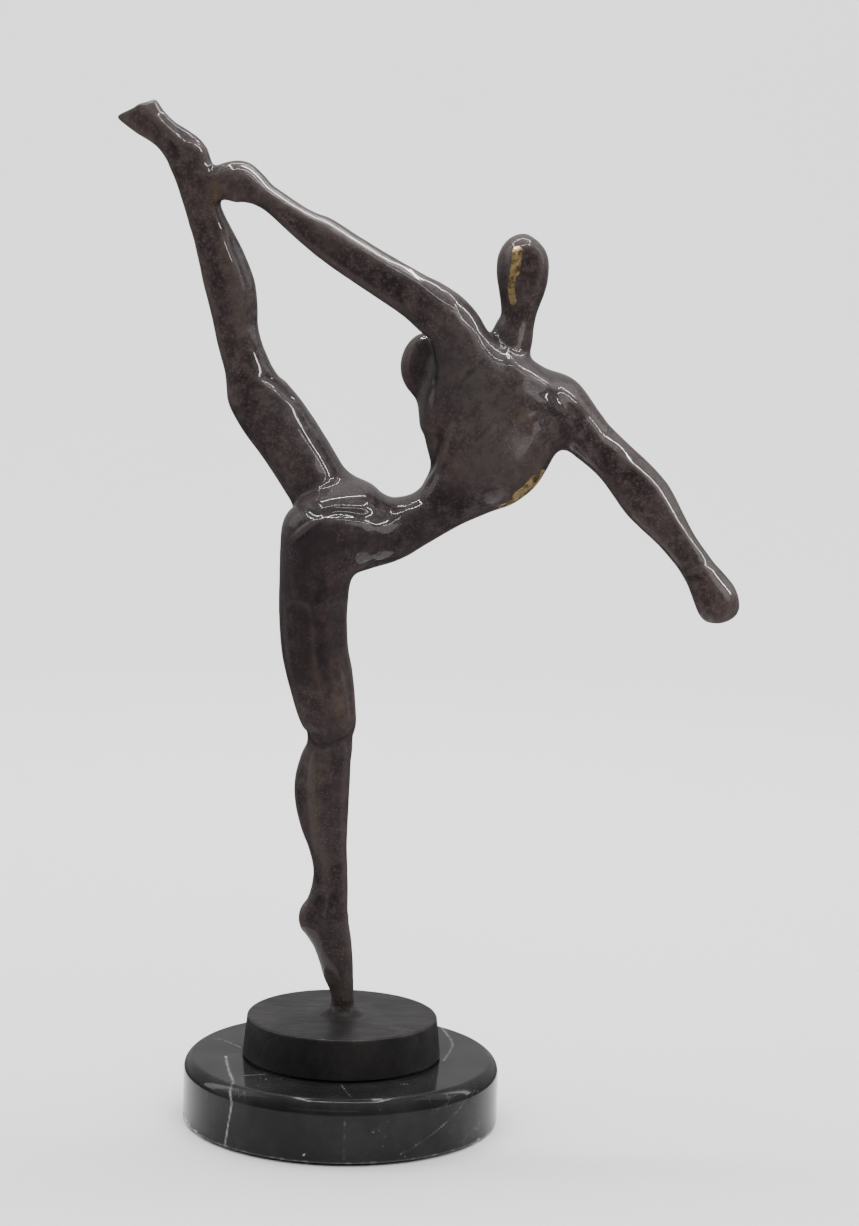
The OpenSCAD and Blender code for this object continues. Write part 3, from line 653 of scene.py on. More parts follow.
def dress(piece, clay):
    """Normals from the clay, attributes for the patina and for painted shade, and metres in the object's frame.
    """
    mesh = piece.data
    points = places_of(mesh, 1)
    reach, foot_top, foot_fade = 2.4, 4.5, 3
    marks = {name: near_places(points, spots) for name, spots in PATINA.items()}
    marks["relief"] = clay.relief(points, reach)
    marks["foot"] = np.clip((foot_top - points[:, 2]) / foot_fade, 0, 1)
    machined = np.empty(len(mesh.polygons), np.int32)
    mesh.polygons.foreach_get("material_index", machined)
    mesh.polygons.foreach_set("use_smooth", machined == 0)
    corners = np.empty(len(mesh.loops), np.int32)
    mesh.loops.foreach_get("vertex_index", corners)
    sizes = np.empty(len(mesh.polygons), np.int32)
    mesh.polygons.foreach_get("loop_total", sizes)
    normals = clay.normals(points)[corners]
    normals[np.repeat(machined, sizes) == 1] = 0
    put_back(mesh, points + np.array([0, 0, PLINTH_TOP / MM]), **marks)
    mesh.normals_split_custom_set(normals.tolist())
    mesh.update()


def make_castings(skin, inside):
    """The figure's castings, each drilled for its dowels and pin."""
    clay = build_figure()
    points, faces = clay.shell()
    whole = mesh_of("figure", points, faces)
    bm = bmesh.new()
    bm.from_mesh(whole.data)
    bpy.data.objects.remove(whole)
    low = bmesh.ops.bisect_plane(bm, geom=[*bm.verts, *bm.edges, *bm.faces], plane_co=(0, 0, 0),
                                 plane_no=(0, 0, 1), clear_inner=True)
    rim = [e for e in low["geom_cut"] if isinstance(e, bmesh.types.BMEdge)]
    for cap in bmesh.ops.holes_fill(bm, edges=rim, sides=0)["faces"]:
        cap.material_index = 1
    for point, across in SECTIONS:
        saw(bm, point, across)
    castings = {}
    for part in islands(bm):
        spots = dict.fromkeys(v for f in part for v in f.verts)
        near = {n: min((v.co - Vector(p)).length for v in spots) for n, p in CASTINGS.items()}
        name = min(near, key=near.get)
        number = {v: i for i, v in enumerate(spots)}
        piece = mesh_of(name, [v.co for v in spots], [[number[v] for v in f.verts] for f in part])
        piece.data.polygons.foreach_set("material_index", [f.material_index for f in part])
        piece.data.materials.append(skin)
        piece.data.materials.append(inside)
        castings[name] = piece
    bm.free()
    pinned = ("standing_leg", "raised_leg", "trailing_arm", "reaching_arm", "head")
    for name, (point, along) in zip(pinned, SECTIONS):
        drill(castings[name], point, along, DOWEL_HOLE)
        drill(castings["torso"], point, along, DOWEL_HOLE)
    drill(castings["standing_leg"], (PIN_X, 0, 0), (0, 0, 1), PIN_HOLE)
    for name, piece in castings.items():
        dress(piece, clay)
        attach(piece, "root")
        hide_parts(name + "_casting")
    return castings


# ---------------------------------------------------------------- materials
class Shader:
    """A node material with a Principled shader, and short ways to add nodes."""

    def __init__(self, name, **values):
        self.material = bpy.data.materials.new(name)
        self.material.use_nodes = True
        self.tree = self.material.node_tree
        self.surface = self.tree.nodes["Principled BSDF"]
        self.place = self.tree.nodes.new("ShaderNodeTexCoord").outputs["Object"]
        for socket, value in values.items():
            self.surface.inputs[socket.replace("_", " ")].default_value = value

    def put(self, socket, source):
        """Sets a node's input from another node's output, a number or a colour."""
        if isinstance(source, bpy.types.NodeSocket):
            self.tree.links.new(source, socket)
        elif isinstance(source, tuple) and socket.type == "RGBA":
            socket.default_value = (*source, 1)
        else:
            socket.default_value = source

    def add(self, kind, inputs, output=0, **settings):
        node = self.tree.nodes.new("ShaderNode" + kind)
        for name, value in settings.items():
            setattr(node, name, value)
        for name, source in inputs.items():
            self.put(node.inputs[name], source)
        return node.outputs[output]

    def stretch(self, x, y, z):
        return self.add("VectorMath", {0: self.place, 1: (x, y, z)}, operation="MULTIPLY")

    def noise(self, scale, detail=3.0, rough=0.5, place=None, twist=0.0):
        return self.add("TexNoise", {"Vector": place or self.place, "Scale": scale, "Detail": detail,
                                     "Roughness": rough, "Distortion": twist})

    def cells(self, scale):
        return self.add("TexVoronoi", {"Vector": self.place, "Scale": scale})

    def ramp(self, source, low, high, bottom=0.0, top=1.0):
        """Runs from bottom to top as the source goes from low to high."""
        return self.add("MapRange", {"Value": source, "From Min": low, "From Max": high,
                                     "To Min": bottom, "To Max": top}, interpolation_type="SMOOTHSTEP")

    def sum(self, a, b):
        return self.add("Math", {0: a, 1: b}, operation="ADD")

    def times(self, a, b):
        return self.add("Math", {0: a, 1: b}, operation="MULTIPLY")

    def most(self, a, b):
        return self.add("Math", {0: a, 1: b}, operation="MAXIMUM")

    def attribute(self, name):
        return self.add("Attribute", {}, 2, attribute_name=name)

    def blend(self, share, a, b):
        return self.add("Mix", {0: share, 6: a, 7: b}, 2, data_type="RGBA")

    def bump(self, height, distance, normal=None):
        inputs = {"Height": height, "Distance": distance, "Strength": 1.0}
        if normal is not None:
            inputs["Normal"] = normal
        return self.add("Bump", inputs)

    def out(self, **inputs):
        for name, source in inputs.items():
            self.put(self.surface.inputs[name.replace("_", " ")], source)
        return self.material


def figure_bronze():
    """Dark waxed patina, mottled and speckled, worn to brass on a few proud places, with painted shade under
    the trailing arm.
    """
    s = Shader("figure_bronze", Coat_Roughness=0.035, Coat_IOR=1.4, Specular_IOR_Level=0.06)
    cloud = s.noise(24, 5, 0.62, twist=0.7)
    mottle = s.noise(170, 5, 0.7)
    grain = s.noise(650, 4, 0.7)
    relief = s.attribute("relief")
    dry = s.times(s.attribute("dry"), s.ramp(mottle, 0.3, 0.6, 0.5, 1))
    # the darkest tone: painted shade under the trailing arm and in the hollow below it, and darker at the hip,
    # along the waist and down the standing leg
    deep = s.times(s.attribute("deep"), s.ramp(cloud, 0.3, 0.6, 0.6, 1))
    speck = s.times(s.ramp(s.cells(850), 0.24, 0.1), s.ramp(s.noise(40, 4, 0.65), 0.46, 0.62, 0, 0.5))
    thin = s.times(s.attribute("thin"), s.ramp(s.noise(120, 6, 0.75), 0.38, 0.66))
    worn = s.times(s.attribute("worn"), s.ramp(s.noise(300, 5, 0.75), 0.25, 0.6, 0.7, 1))
    worn = s.ramp(worn, 0.36, 0.46)
    brass = s.blend(s.ramp(s.noise(230, 5, 0.7), 0.35, 0.6), (0.15, 0.095, 0.04), (0.76, 0.56, 0.27))
    base = s.blend(s.ramp(cloud, 0.32, 0.72), (0.0190, 0.0132, 0.0142), (0.050, 0.035, 0.0355))
    for share, colour in (
            (s.ramp(mottle, 0.42, 0.7, 0, 0.65), (0.076, 0.055, 0.054)),
            (s.ramp(grain, 0.5, 0.68, 0, 0.5), (0.094, 0.074, 0.071)),
            (dry, (0.056, 0.046, 0.0445)),
            # painted shade under the trailing arm, with the darker hip, waist and standing leg
            (deep, (0.0145, 0.0115, 0.0145)),
            (s.attribute("foot"), (0.022, 0.0205, 0.020)),
            (speck, (0.20, 0.18, 0.165)),
            (s.ramp(relief, 0.05, 0.25, 0, 0.35), (0.095, 0.078, 0.068)),
            (s.ramp(relief, -0.03, -0.2, 0, 0.6), (0.008, 0.007, 0.007)),
            (thin, (0.080, 0.053, 0.038)),
            (worn, brass)):
        base = s.blend(share, base, colour)
    rough = s.sum(s.ramp(mottle, 0.3, 0.7, 0.34, 0.5), s.times(worn, -0.1))
    skin = s.bump(s.noise(120, 4, 0.6), 0.00018)
    skin = s.bump(s.times(grain, s.ramp(cloud, 0.4, 0.6, 0.4, 1)), 0.00006, skin)
    pit = s.ramp(s.cells(380), 0.12, 0.04, 0, -1)
    skin = s.bump(s.times(pit, s.ramp(s.noise(60, 2), 0.55, 0.7)), 0.00012, skin)
    coat = s.bump(s.noise(80, 3, 0.5), 0.00003)
    dull = s.most(s.attribute("dry"), s.attribute("foot"))
    return s.out(Base_Color=base, Metallic=s.ramp(worn, 0, 1, 0.04, 0.8), Roughness=rough, Normal=skin,
                 Coat_Normal=coat, Coat_Weight=s.ramp(dull, 0.1, 0.9, 0.55, 0.06))


def raw_bronze():
    """Sawn and turned metal inside the joints, dulled."""
    s = Shader("raw_bronze", Metallic=1.0)
    grain = s.noise(900, 3, 0.6, s.stretch(1, 1, 8))
    base = s.blend(s.noise(120, 4, 0.6), (0.42, 0.26, 0.12), (0.72, 0.50, 0.26))
    rough = s.ramp(grain, 0.3, 0.7, 0.25, 0.42)
    return s.out(Base_Color=base, Roughness=rough, Normal=s.bump(grain, 0.00004))


def plinth_bronze():
    """Sand-cast and blackened, brushed round on top, with a satin wax."""
    s = Shader("plinth_bronze", Specular_IOR_Level=0.12)
    cloud = s.noise(22, 5, 0.65, twist=0.4)
    grain = s.noise(520, 4, 0.7)
    brushed = s.noise(34, 6, 0.75, s.stretch(1, 2.2, 1), twist=1.6)
    base = s.blend(s.ramp(cloud, 0.35, 0.7), (0.016, 0.0148, 0.0152), (0.029, 0.0268, 0.0264))
    base = s.blend(s.ramp(brushed, 0.5, 0.75, 0, 0.4), base, (0.038, 0.034, 0.032))
    edge = s.times(s.attribute("edge"), s.ramp(s.noise(90, 5, 0.7), 0.42, 0.62))
    base = s.blend(s.times(edge, 0.35), base, (0.075, 0.064, 0.055))
    rough = s.ramp(brushed, 0.3, 0.7, 0.36, 0.5)
    skin = s.bump(s.noise(75, 4, 0.6), 0.0004)
    skin = s.bump(grain, 0.00007, skin)
    skin = s.bump(s.ramp(s.cells(240), 0.14, 0.05, 0, -1), 0.00012, skin)
    return s.out(Base_Color=base, Metallic=0.3, Roughness=rough, Normal=skin)


def black_marble():
    """Polished black marble with thin white veins, flecks and bruised edges."""
    s = Shader("black_marble", Specular_IOR_Level=0.15)
    base = s.blend(s.ramp(s.noise(30, 5, 0.6), 0.35, 0.7), (0.010, 0.0098, 0.0105), (0.021, 0.0205, 0.0215))
    vein = s.attribute("vein")
    broken = s.ramp(s.noise(170, 4, 0.7), 0.32, 0.5, 0.25, 1)
    base = s.blend(s.times(vein, broken), base, (0.36, 0.355, 0.35))
    wander = s.noise(9, 5, 0.6, twist=2.2)
    hair = s.ramp(s.add("Math", {0: s.sum(wander, -0.5)}, operation="ABSOLUTE"), 0.0, 0.006, 1, 0)
    hair = s.times(hair, s.ramp(s.noise(24, 3, 0.6), 0.56, 0.68, 0, 0.35))
    base = s.blend(hair, base, (0.22, 0.215, 0.21))
    fleck = s.ramp(s.cells(300), 0.2, 0.06)
    fleck = s.times(fleck, s.ramp(s.noise(40, 3, 0.65), 0.60, 0.70, 0, 0.5))
    base = s.blend(fleck, base, (0.30, 0.295, 0.29))
    chip = s.attribute("chip")
    base = s.blend(chip, base, s.blend(s.noise(500, 3), (0.42, 0.41, 0.40), (0.62, 0.61, 0.60)))
    rough = s.most(s.ramp(s.noise(130, 4, 0.6), 0.3, 0.7, 0.05, 0.10), s.ramp(chip, 0, 1, 0, 0.6))
    skin = s.bump(s.noise(55, 3, 0.5), 0.00006)
    skin = s.bump(s.times(s.noise(900, 4, 0.7), chip), 0.0003, skin)
    return s.out(Base_Color=base, Roughness=rough, Normal=skin)


def black_felt():
    s = Shader("black_felt", Sheen_Weight=0.4, Sheen_Roughness=0.5)
    fibre = s.noise(1500, 5, 0.75, s.stretch(1, 1, 2), twist=1.5)
    base = s.blend(fibre, (0.010, 0.011, 0.011), (0.045, 0.047, 0.046))
    return s.out(Base_Color=base, Roughness=0.95, Normal=s.bump(fibre, 0.0003))


def gasket_rubber():
    s = Shader("gasket_rubber")
    dust = s.noise(260, 5, 0.7)
    base = s.blend(s.ramp(dust, 0.5, 0.75), (0.010, 0.010, 0.010), (0.035, 0.034, 0.033))
    return s.out(Base_Color=base, Roughness=s.ramp(dust, 0.3, 0.7, 0.55, 0.8), Normal=s.bump(dust, 0.00005))


def zinc_steel():
    """Bright zinc plate, with dull patches and turning marks."""
    s = Shader("zinc_steel", Metallic=1.0)
    bloom = s.noise(140, 5, 0.65)
    turned = s.noise(700, 3, 0.6, s.stretch(1, 1, 6))
    base = s.blend(s.ramp(bloom, 0.4, 0.65), (0.56, 0.58, 0.60), (0.76, 0.75, 0.70))
    rough = s.sum(s.ramp(bloom, 0.35, 0.7, 0.2, 0.4), s.times(turned, 0.1))
    return s.out(Base_Color=base, Roughness=rough, Normal=s.bump(turned, 0.00003))


# ---------------------------------------------------------------- plinth, marble, felt and stud
def lathe(name, outline, sides, gap, fine=0):
    """A closed solid turned about Z. The outline is a closed loop of radius and height in mm, and
    is filled in with points no further apart than the gap, or four times that where it is nearer
    to the axis than the fine radius. A radius of 0 closes on the axis."""
    loop = []
    for (r0, z0), (r1, z1) in zip(outline, outline[1:] + outline[:1]):
        spread = gap if min(r0, r1) >= fine else 4 * gap
        steps = 1 if r0 == r1 == 0 else max(1, math.ceil(math.hypot(r1 - r0, z1 - z0) / spread))
        loop += [(r0 + (r1 - r0) * i / steps, z0 + (z1 - z0) * i / steps) for i in range(steps)]
    points, rows = [], []
    for r, z in loop:
        if r == 0:
            rows.append([len(points)] * sides)
            points.append((0.0, 0.0, z))
        else:
            rows.append(list(range(len(points), len(points) + sides)))
            points += [(r * math.cos(a), r * math.sin(a), z) for a in np.arange(sides) * 2 * math.pi / sides]
    faces = []
    for low, high in zip(rows, rows[1:] + rows[:1]):
        if low[0] == low[1] and high[0] == high[1]:
            continue
        for i in range(sides):
            j = (i + 1) % sides
            corner = [low[i], low[j], high[j], high[i]]
            faces.append([v for n, v in enumerate(corner) if v != corner[n - 1]])
    return mesh_of(name, np.array(points) * MM, faces)


def disc_of(node):
    """A round node's foot, radius and top, in millimetres."""
    (_, _, z0), (r, _, z1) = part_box(node)
    return z0 / MM, r / MM, z1 / MM


def arc(cx, cz, rx, rz, first, last, steps):
    """Points of an outline round an elliptic arc, by degrees."""
    turns = [math.radians(first + (last - first) * i / steps) for i in range(steps + 1)]
    return [(cx + rx * math.cos(t), cz + rz * math.sin(t)) for t in turns]


def waves(turn, seed, orders, size):
    """A slow wander round a circle, the same each run."""
    rng = np.random.default_rng(seed)
    return sum(size / n * rng.uniform(0.4, 1) * np.cos(n * turn + rng.uniform(0, 2 * np.pi)) for n in orders)


def keep_edges(piece, degrees=35):
    """Smooth shading that stops at real edges."""
    piece.data.set_sharp_from_angle(angle=math.radians(degrees))


def finish_piece(piece, node, material):
    if not piece.data.materials:
        piece.data.materials.append(material)
    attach(piece, "root")
    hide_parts(node)


def make_plinth(material, inside):
    """The cast drum: slightly out of round, its top dished and its rim rolled unevenly."""
    z0, r, z1 = disc_of("plinth")
    r_top, wall, edge, pin_depth = r - 2, 4.5, 1.3, 7.2
    stud_hole, stud_depth, boss = 4.05, 10.7, 10
    ceiling = z1 - wall
    outline = [(r - 0.6, z0), (r - 0.15, z0 + 0.5), (r - 0.3, z0 + 2)]
    outline += arc(r_top - edge, z1 - edge, edge, edge, 0, 90, 6)
    outline += [(0, z1), (0, z0 + stud_depth), (stud_hole, z0 + stud_depth), (stud_hole, z0 + 0.6),
                (stud_hole + 0.6, z0), (boss - 0.8, z0), (boss, z0 + 0.8)]
    outline += arc(boss + 3, ceiling - 3, -3, 3, 0, 90, 4)
    outline += arc(r_top - wall - 6, ceiling - 4, 4, 4, 90, 0, 5)
    outline += [(r - wall, z0)]
    piece = lathe("cast_plinth", outline, 240, 1.0)
    points = places_of(piece.data)
    x, y, z = points.T
    radius, turn = np.hypot(x, y), np.arctan2(y, x)
    height = (z - z0) / (z1 - z0)
    outer = np.clip((radius - boss - 4) / 8, 0, 1)
    slack = waves(turn, 3, (2, 3, 5, 8, 13), 0.28) * outer
    radius = radius * (1 - 0.0035 * outer) + slack * (0.35 + 0.65 * np.abs(height - 0.4))
    sunk = np.clip(height * 4 - 3, 0, 1) * outer
    z = z - sunk * (0.12 + waves(turn, 5, (2, 3, 7, 11), 0.16))
    foot = np.clip(1 - height * 8, 0, 1) * np.clip((radius - 38) / 4, 0, 1)
    z = z + foot * np.clip(waves(turn, 9, (3, 5, 8, 14, 21), 0.3), 0, 0.3)
    rim = np.exp(-((radius - r_top) ** 2 + (z - z1) ** 2) / 1.2**2)
    points = np.stack([radius * np.cos(turn), radius * np.sin(turn), np.clip(z, z0, z1)], 1)
    put_back(piece.data, points, edge=rim)
    piece.data.materials.append(material)
    piece.data.materials.append(inside)
    keep_edges(piece)
    drill(piece, (PIN_X * MM, 0, z1 * MM), (0, 0, 1), (PIN_HOLE[0] * MM, 2 * pin_depth * MM))
    keep_edges(piece)
    finish_piece(piece, "plinth", material)
    return piece


# Veins in the marble: places as turn in degrees (-90 faces the front), radius and height from the
# top, then the vein's half width and strength.
VEINS = [
    ([(-173, 56, 0), (-159, 58, 0), (-147, 62.5, 0), (-138.5, 67.5, 0), (-135, 71, 0), (-133, 75, -3),
      (-131.5, 76, -7), (-132, 76, -12), (-133, 76, -19), (-134.5, 76, -29)], 0.36, 0.9),
    ([(-171, 57, 0), (-174, 53, 0), (-177, 50, 0)], 0.2, 0.4),
    ([(-140, 59, 0), (-137.5, 54, 0), (-135.5, 50, 0)], 0.25, 0.5),
    ([(-89.5, 50, 0), (-87.5, 60, 0), (-86, 68.5, 0)], 0.22, 0.4),
    ([(-59, 54.5, 0), (-55.5, 56.5, 0)], 0.22, 0.5),
    ([(-78, 72.3, -0.5), (-75, 72.4, -0.7)], 0.5, 0.8),
    ([(-38, 75.5, -4), (-42, 76, -9), (-50, 76, -15), (-59, 76, -21), (-68, 76, -26)], 0.22, 0.3),
    ([(-88, 76, -8), (-88.5, 76, -14), (-88, 76, -20), (-88.5, 76, -29)], 0.18, 0.16),
    ([(-8, 50, 0), (20, 58, 0), (38, 66, 0), (45, 71, 0), (47, 75.8, -5), (52, 76, -16), (61, 76, -29)],
     0.4, 0.6),
    ([(80, 52, 0), (95, 60, 0), (99, 70, 0), (101, 75.8, -5), (97, 76, -17), (102, 76, -29)], 0.32, 0.6),
    ([(170, 50, 0), (160, 63, 0), (163, 71, 0), (166, 76, -8), (158, 76, -18), (150, 76, -29)], 0.3, 0.5),
]
# Chips off its lower arris: turn in degrees, height from the foot, half height, depth, length over height.
CHIPS = [(-168, 0.9, 2.0, 0.5, 4.0), (-154, 0.2, 1.3, 0.35, 1.5), (-102, 3.4, 0.4, 0.1, 1),
         (-30, 0, 1.2, 0.5, 1.6), (40, 0, 1.8, 0.6, 2.2), (118, 0, 1.4, 0.5, 1.4)]


def make_marble(material):
    """The disc with an ovolo round its top, a worn lower arris, and the counterbored hole."""
    z0, r, z1 = disc_of("marble_base")
    ovolo_w, ovolo_h, end = 4.0, 6.5, 60
    hole, sunk_hole, sunk_depth = 4.5, 17, 13
    hidden = 48.5  # the radius that the plinth covers
    across, up = ovolo_w / (1 - math.cos(math.radians(end))), ovolo_h / math.sin(math.radians(end))
    outline = [(r - 3, z0), (r - 0.5, z0), (r - 0.12, z0 + 0.18), (r, z0 + 0.6)]
    outline += arc(r - across, z1 - ovolo_h, across, up, 0, end - 3, 12)
    outline += [(r - ovolo_w - 0.25, z1), (hidden, z1), (hole, z1), (hole, z0 + sunk_depth)]
    outline += [(sunk_hole, z0 + sunk_depth), (sunk_hole, z0 + 0.5), (sunk_hole + 0.5, z0)]
    piece = lathe("marble_disc", outline, 620, 0.75, hidden - 0.5)
    points = places_of(piece.data)
    x, y, z = points.T
    radius, turn = np.hypot(x, y), np.arctan2(y, x)
    bruise = np.clip(np.sin(turn * 61) * np.sin(turn * 23 + 1) * np.sin(turn * 7 + 2) - 0.12, 0, 1)
    arris = np.clip(1 - (z - z0) / 0.7, 0, 1) * (radius > r - 1.2)
    radius = radius - 0.35 * bruise * arris
    chip = (0.25 + 0.6 * np.minimum(3 * bruise, 1)) * arris
    for degrees, height, reach, depth, stretch in CHIPS:
        a = math.radians(degrees)
        gap = np.hypot(np.angle(np.exp(1j * (turn - a))) * r / stretch, (z - z0 - height) * 1.3)
        gap = gap * (1 + 0.3 * np.sin(turn * 230 + z * 2.3) + 0.2 * np.sin(turn * 530 - z * 5.1))
        bite = np.clip(1 - (gap / reach) ** 2, 0, 1) * (radius > r - 2.5)
        radius = radius - depth * bite * (0.8 + 0.2 * np.sin(turn * 300))
        chip = np.maximum(chip, np.clip(bite * 4, 0, 1))
    points = np.stack([radius * np.cos(turn), radius * np.sin(turn), z], 1)
    vein = np.zeros(len(points))
    for places, width, strength in VEINS:
        turns = [math.radians(a) for a, _, _ in places]
        path = [(math.cos(t) * q, math.sin(t) * q, z1 + h) for t, (_, q, h) in zip(turns, places)]
        for p in spline(path, 16):
            near = np.abs(points - p).max(1) < 3 * width + 1
            gap = ((points[near] - p) ** 2).sum(1)
            vein[near] = np.maximum(vein[near], strength * np.exp(-gap / width**2))
    put_back(piece.data, points, vein=vein, chip=chip)
    keep_edges(piece, 28)
    finish_piece(piece, "marble_base", material)
    return piece


def make_felt(material):
    """The pad, its cut edge a little ragged and its weight-bearing face flat."""
    z0, r, z1 = disc_of("felt_pad")
    outline = [(0, z0), (r - 0.5, z0), (r - 0.15, z0 + 0.3), (r - 0.1, (z0 + z1) / 2), (r - 0.3, z1), (0, z1)]
    piece = lathe("felt_disc", outline, 360, 3)
    points = places_of(piece.data)
    turn, radius = np.arctan2(points[:, 1], points[:, 0]), np.hypot(points[:, 0], points[:, 1])
    ragged = 1 - 0.004 * (radius > r - 1) * (0.5 + 0.5 * np.sin(turn * 67) * np.sin(turn * 29))
    points[:, :2] *= ragged[:, None]
    put_back(piece.data, points)
    keep_edges(piece)
    finish_piece(piece, "felt_pad", material)


def make_stud(material):
    """The stud with its rolled M8 thread, cut down to the root at both ends."""
    z0, r, z1 = disc_of("mounting_stud")
    pitch, depth, sides, rows = 1.25, 0.68, 48, round((z1 - z0) * 8)
    turn = np.arange(sides) * 2 * np.pi / sides
    z = np.linspace(z0, z1, rows)[:, None]
    phase = np.abs(((z / pitch - turn / (2 * np.pi)) % 1) * 2 - 1)
    thread = r - depth * np.clip(1.25 * phase - 0.12, 0, 1)
    bevel = r - np.clip(1 - np.minimum(z - z0, z1 - z), 0, 1)
    radius = np.minimum(thread, bevel)
    grid = np.stack([radius * np.cos(turn), radius * np.sin(turn), np.broadcast_to(z, radius.shape)], -1)
    ring = np.arange(rows * sides).reshape(rows, sides).tolist()
    faces = [[low[j - 1], low[j], high[j], high[j - 1]]
             for low, high in zip(ring, ring[1:]) for j in range(sides)]
    faces += [ring[0][::-1], ring[-1]]
    piece = mesh_of("threaded_stud", grid.reshape(-1, 3) * MM, faces)
    keep_edges(piece, 50)
    finish_piece(piece, "mounting_stud", material)


# ---------------------------------------------------------------- studio
def make_studio():
    """A pale sweep round the back and sides. Only its middle shows in reflections."""
    sides, front, near, flat, bend = 144, -math.pi / 2, 0.16, 1.5, 0.7
    profile = [(near, 0.0), (0.5, 0.0), (1.0, 0.0), (flat, 0.0)]
    for t in np.linspace(0.12, math.pi / 2, 12):
        profile.append((flat + bend * math.sin(t), bend - bend * math.cos(t)))
    profile += [(flat + bend, 1.2), (flat + bend, 2.0)]
    points, faces = [], []
    for r, h in profile:
        for i in range(sides):
            a = 2 * math.pi * i / sides
            off = abs(math.remainder(a - front, 2 * math.pi))
            rise = min(max((off - 1.2) / 0.5, 0), 1)
            points.append((r * math.cos(a), r * math.sin(a), h * rise * rise * (3 - 2 * rise)))
    for k in range(len(profile) - 1):
        for i in range(sides):
            j = (i + 1) % sides
            faces.append([k * sides + j, k * sides + i, (k + 1) * sides + i, (k + 1) * sides + j])
    s = Shader("paper", Roughness=0.75)
    s.out(Base_Color=s.blend(s.noise(3, 2), (0.80, 0.80, 0.805), (0.83, 0.83, 0.835)))
    middle = mesh_of("floor", points[:sides], [list(range(sides))])
    sweep = mesh_of("sweep", points, faces)
    sweep.visible_glossy = False
    for part in (middle, sweep):
        part.data.materials.append(s.material)
    return middle, sweep


# How bright the room is in front, at the sides and above, and its share below the horizon.
ROOM_FRONT, ROOM_SIDE, ROOM_TOP, ROOM_LOW = 0.05, 0.75, 0.7, 0.1
# How bright the camera sees it, and the share of it that gloss reflects.
ROOM_SEEN, ROOM_MIRRORED = 1.6, 0.7


def make_room():
    """Light from the room: bright above and at the sides, dark in front. The camera sees it pale."""
    world = bpy.data.worlds.new("room")
    world.use_nodes = True
    bpy.context.scene.world = world
    tree = world.node_tree
    tree.nodes.clear()

    def add(kind, **inputs):
        node = tree.nodes.new("ShaderNode" + kind)
        for name, value in inputs.items():
            key = int(name[1:]) if name[0] == "i" and name[1:].isdigit() else name.replace("_", " ")
            if isinstance(value, bpy.types.NodeSocket):
                tree.links.new(value, node.inputs[key])
            else:
                node.inputs[key].default_value = value
        return node

    axis = add("SeparateXYZ", Vector=add("TexCoord").outputs["Generated"]).outputs
    ahead = add("MapRange", Value=axis["Y"], From_Min=-0.6, From_Max=0.1, To_Min=ROOM_FRONT, To_Max=ROOM_SIDE)
    below = add("MapRange", Value=axis["Z"], From_Min=-0.2, From_Max=0.1, To_Min=ROOM_LOW, To_Max=1.0)
    over = add("MapRange", Value=axis["Z"], From_Min=0.25, From_Max=0.9, To_Min=0.0, To_Max=ROOM_TOP)
    level = tree.nodes.new("ShaderNodeMath")
    level.operation = "MULTIPLY_ADD"
    for socket, node in zip(level.inputs, (ahead, below, over)):
        tree.links.new(node.outputs[0], socket)
    seen = add("LightPath").outputs
    mirrored = add("MapRange", Value=seen["Is Glossy Ray"], To_Min=1.0, To_Max=ROOM_MIRRORED)
    strength = tree.nodes.new("ShaderNodeMath")
    strength.operation = "MULTIPLY"
    tree.links.new(level.outputs[0], strength.inputs[0])
    tree.links.new(mirrored.outputs[0], strength.inputs[1])
    dark = add("Background", Color=(1, 1, 1, 1), Strength=strength.outputs[0])
    pale = add("Background", Color=(1, 1, 1, 1), Strength=ROOM_SEEN)
    choose = add("MixShader", i0=seen["Is Camera Ray"], i1=dark.outputs[0], i2=pale.outputs[0])
    tree.links.new(choose.outputs[0], add("OutputWorld").inputs["Surface"])


def lamp(name, place, target, width, height, power, along=(0, 0, 1)):
    """A flat lamp that faces a target, its height along a direction. One hung level ignores that."""
    data = bpy.data.lights.new(name, "AREA")
    data.shape = "RECTANGLE"
    data.size, data.size_y, data.energy = width, height, power
    light = bpy.data.objects.new(name, data)
    bpy.context.collection.objects.link(light)
    back = (Vector(place) - Vector(target)).normalized()
    level = abs(back.z) > 0.999
    side = Vector((1, 0, 0)) if level else Vector(along).cross(back).normalized()
    aim = Matrix((side, back.cross(side), back)).transposed()
    light.matrix_world = Matrix.Translation(place) @ aim.to_4x4()
    return light


def shade(light, pieces):
    """Keeps a lamp's light to the given pieces."""
    group = bpy.data.collections.new(light.name + "_lights")
    for piece in pieces:
        group.objects.link(piece)
    light.light_linking.receiver_collection = group


# Watts of the lamps. The bars' are for each metre of length.
BAR_POWER, TOP_POWER, OVER_POWER, SIDE_POWER, WASH_POWER, FILL_POWER = 4.4, 24.0, 9.0, 5.0, 58.0, 12.5
UP, ARM_LINE, REACH_LINE = (0, 0, 1), (-0.85, 0, 0.53), (0.65, 0, -0.76)
REACHER, BASE = ("reaching_arm", "torso"), ("plinth", "marble")
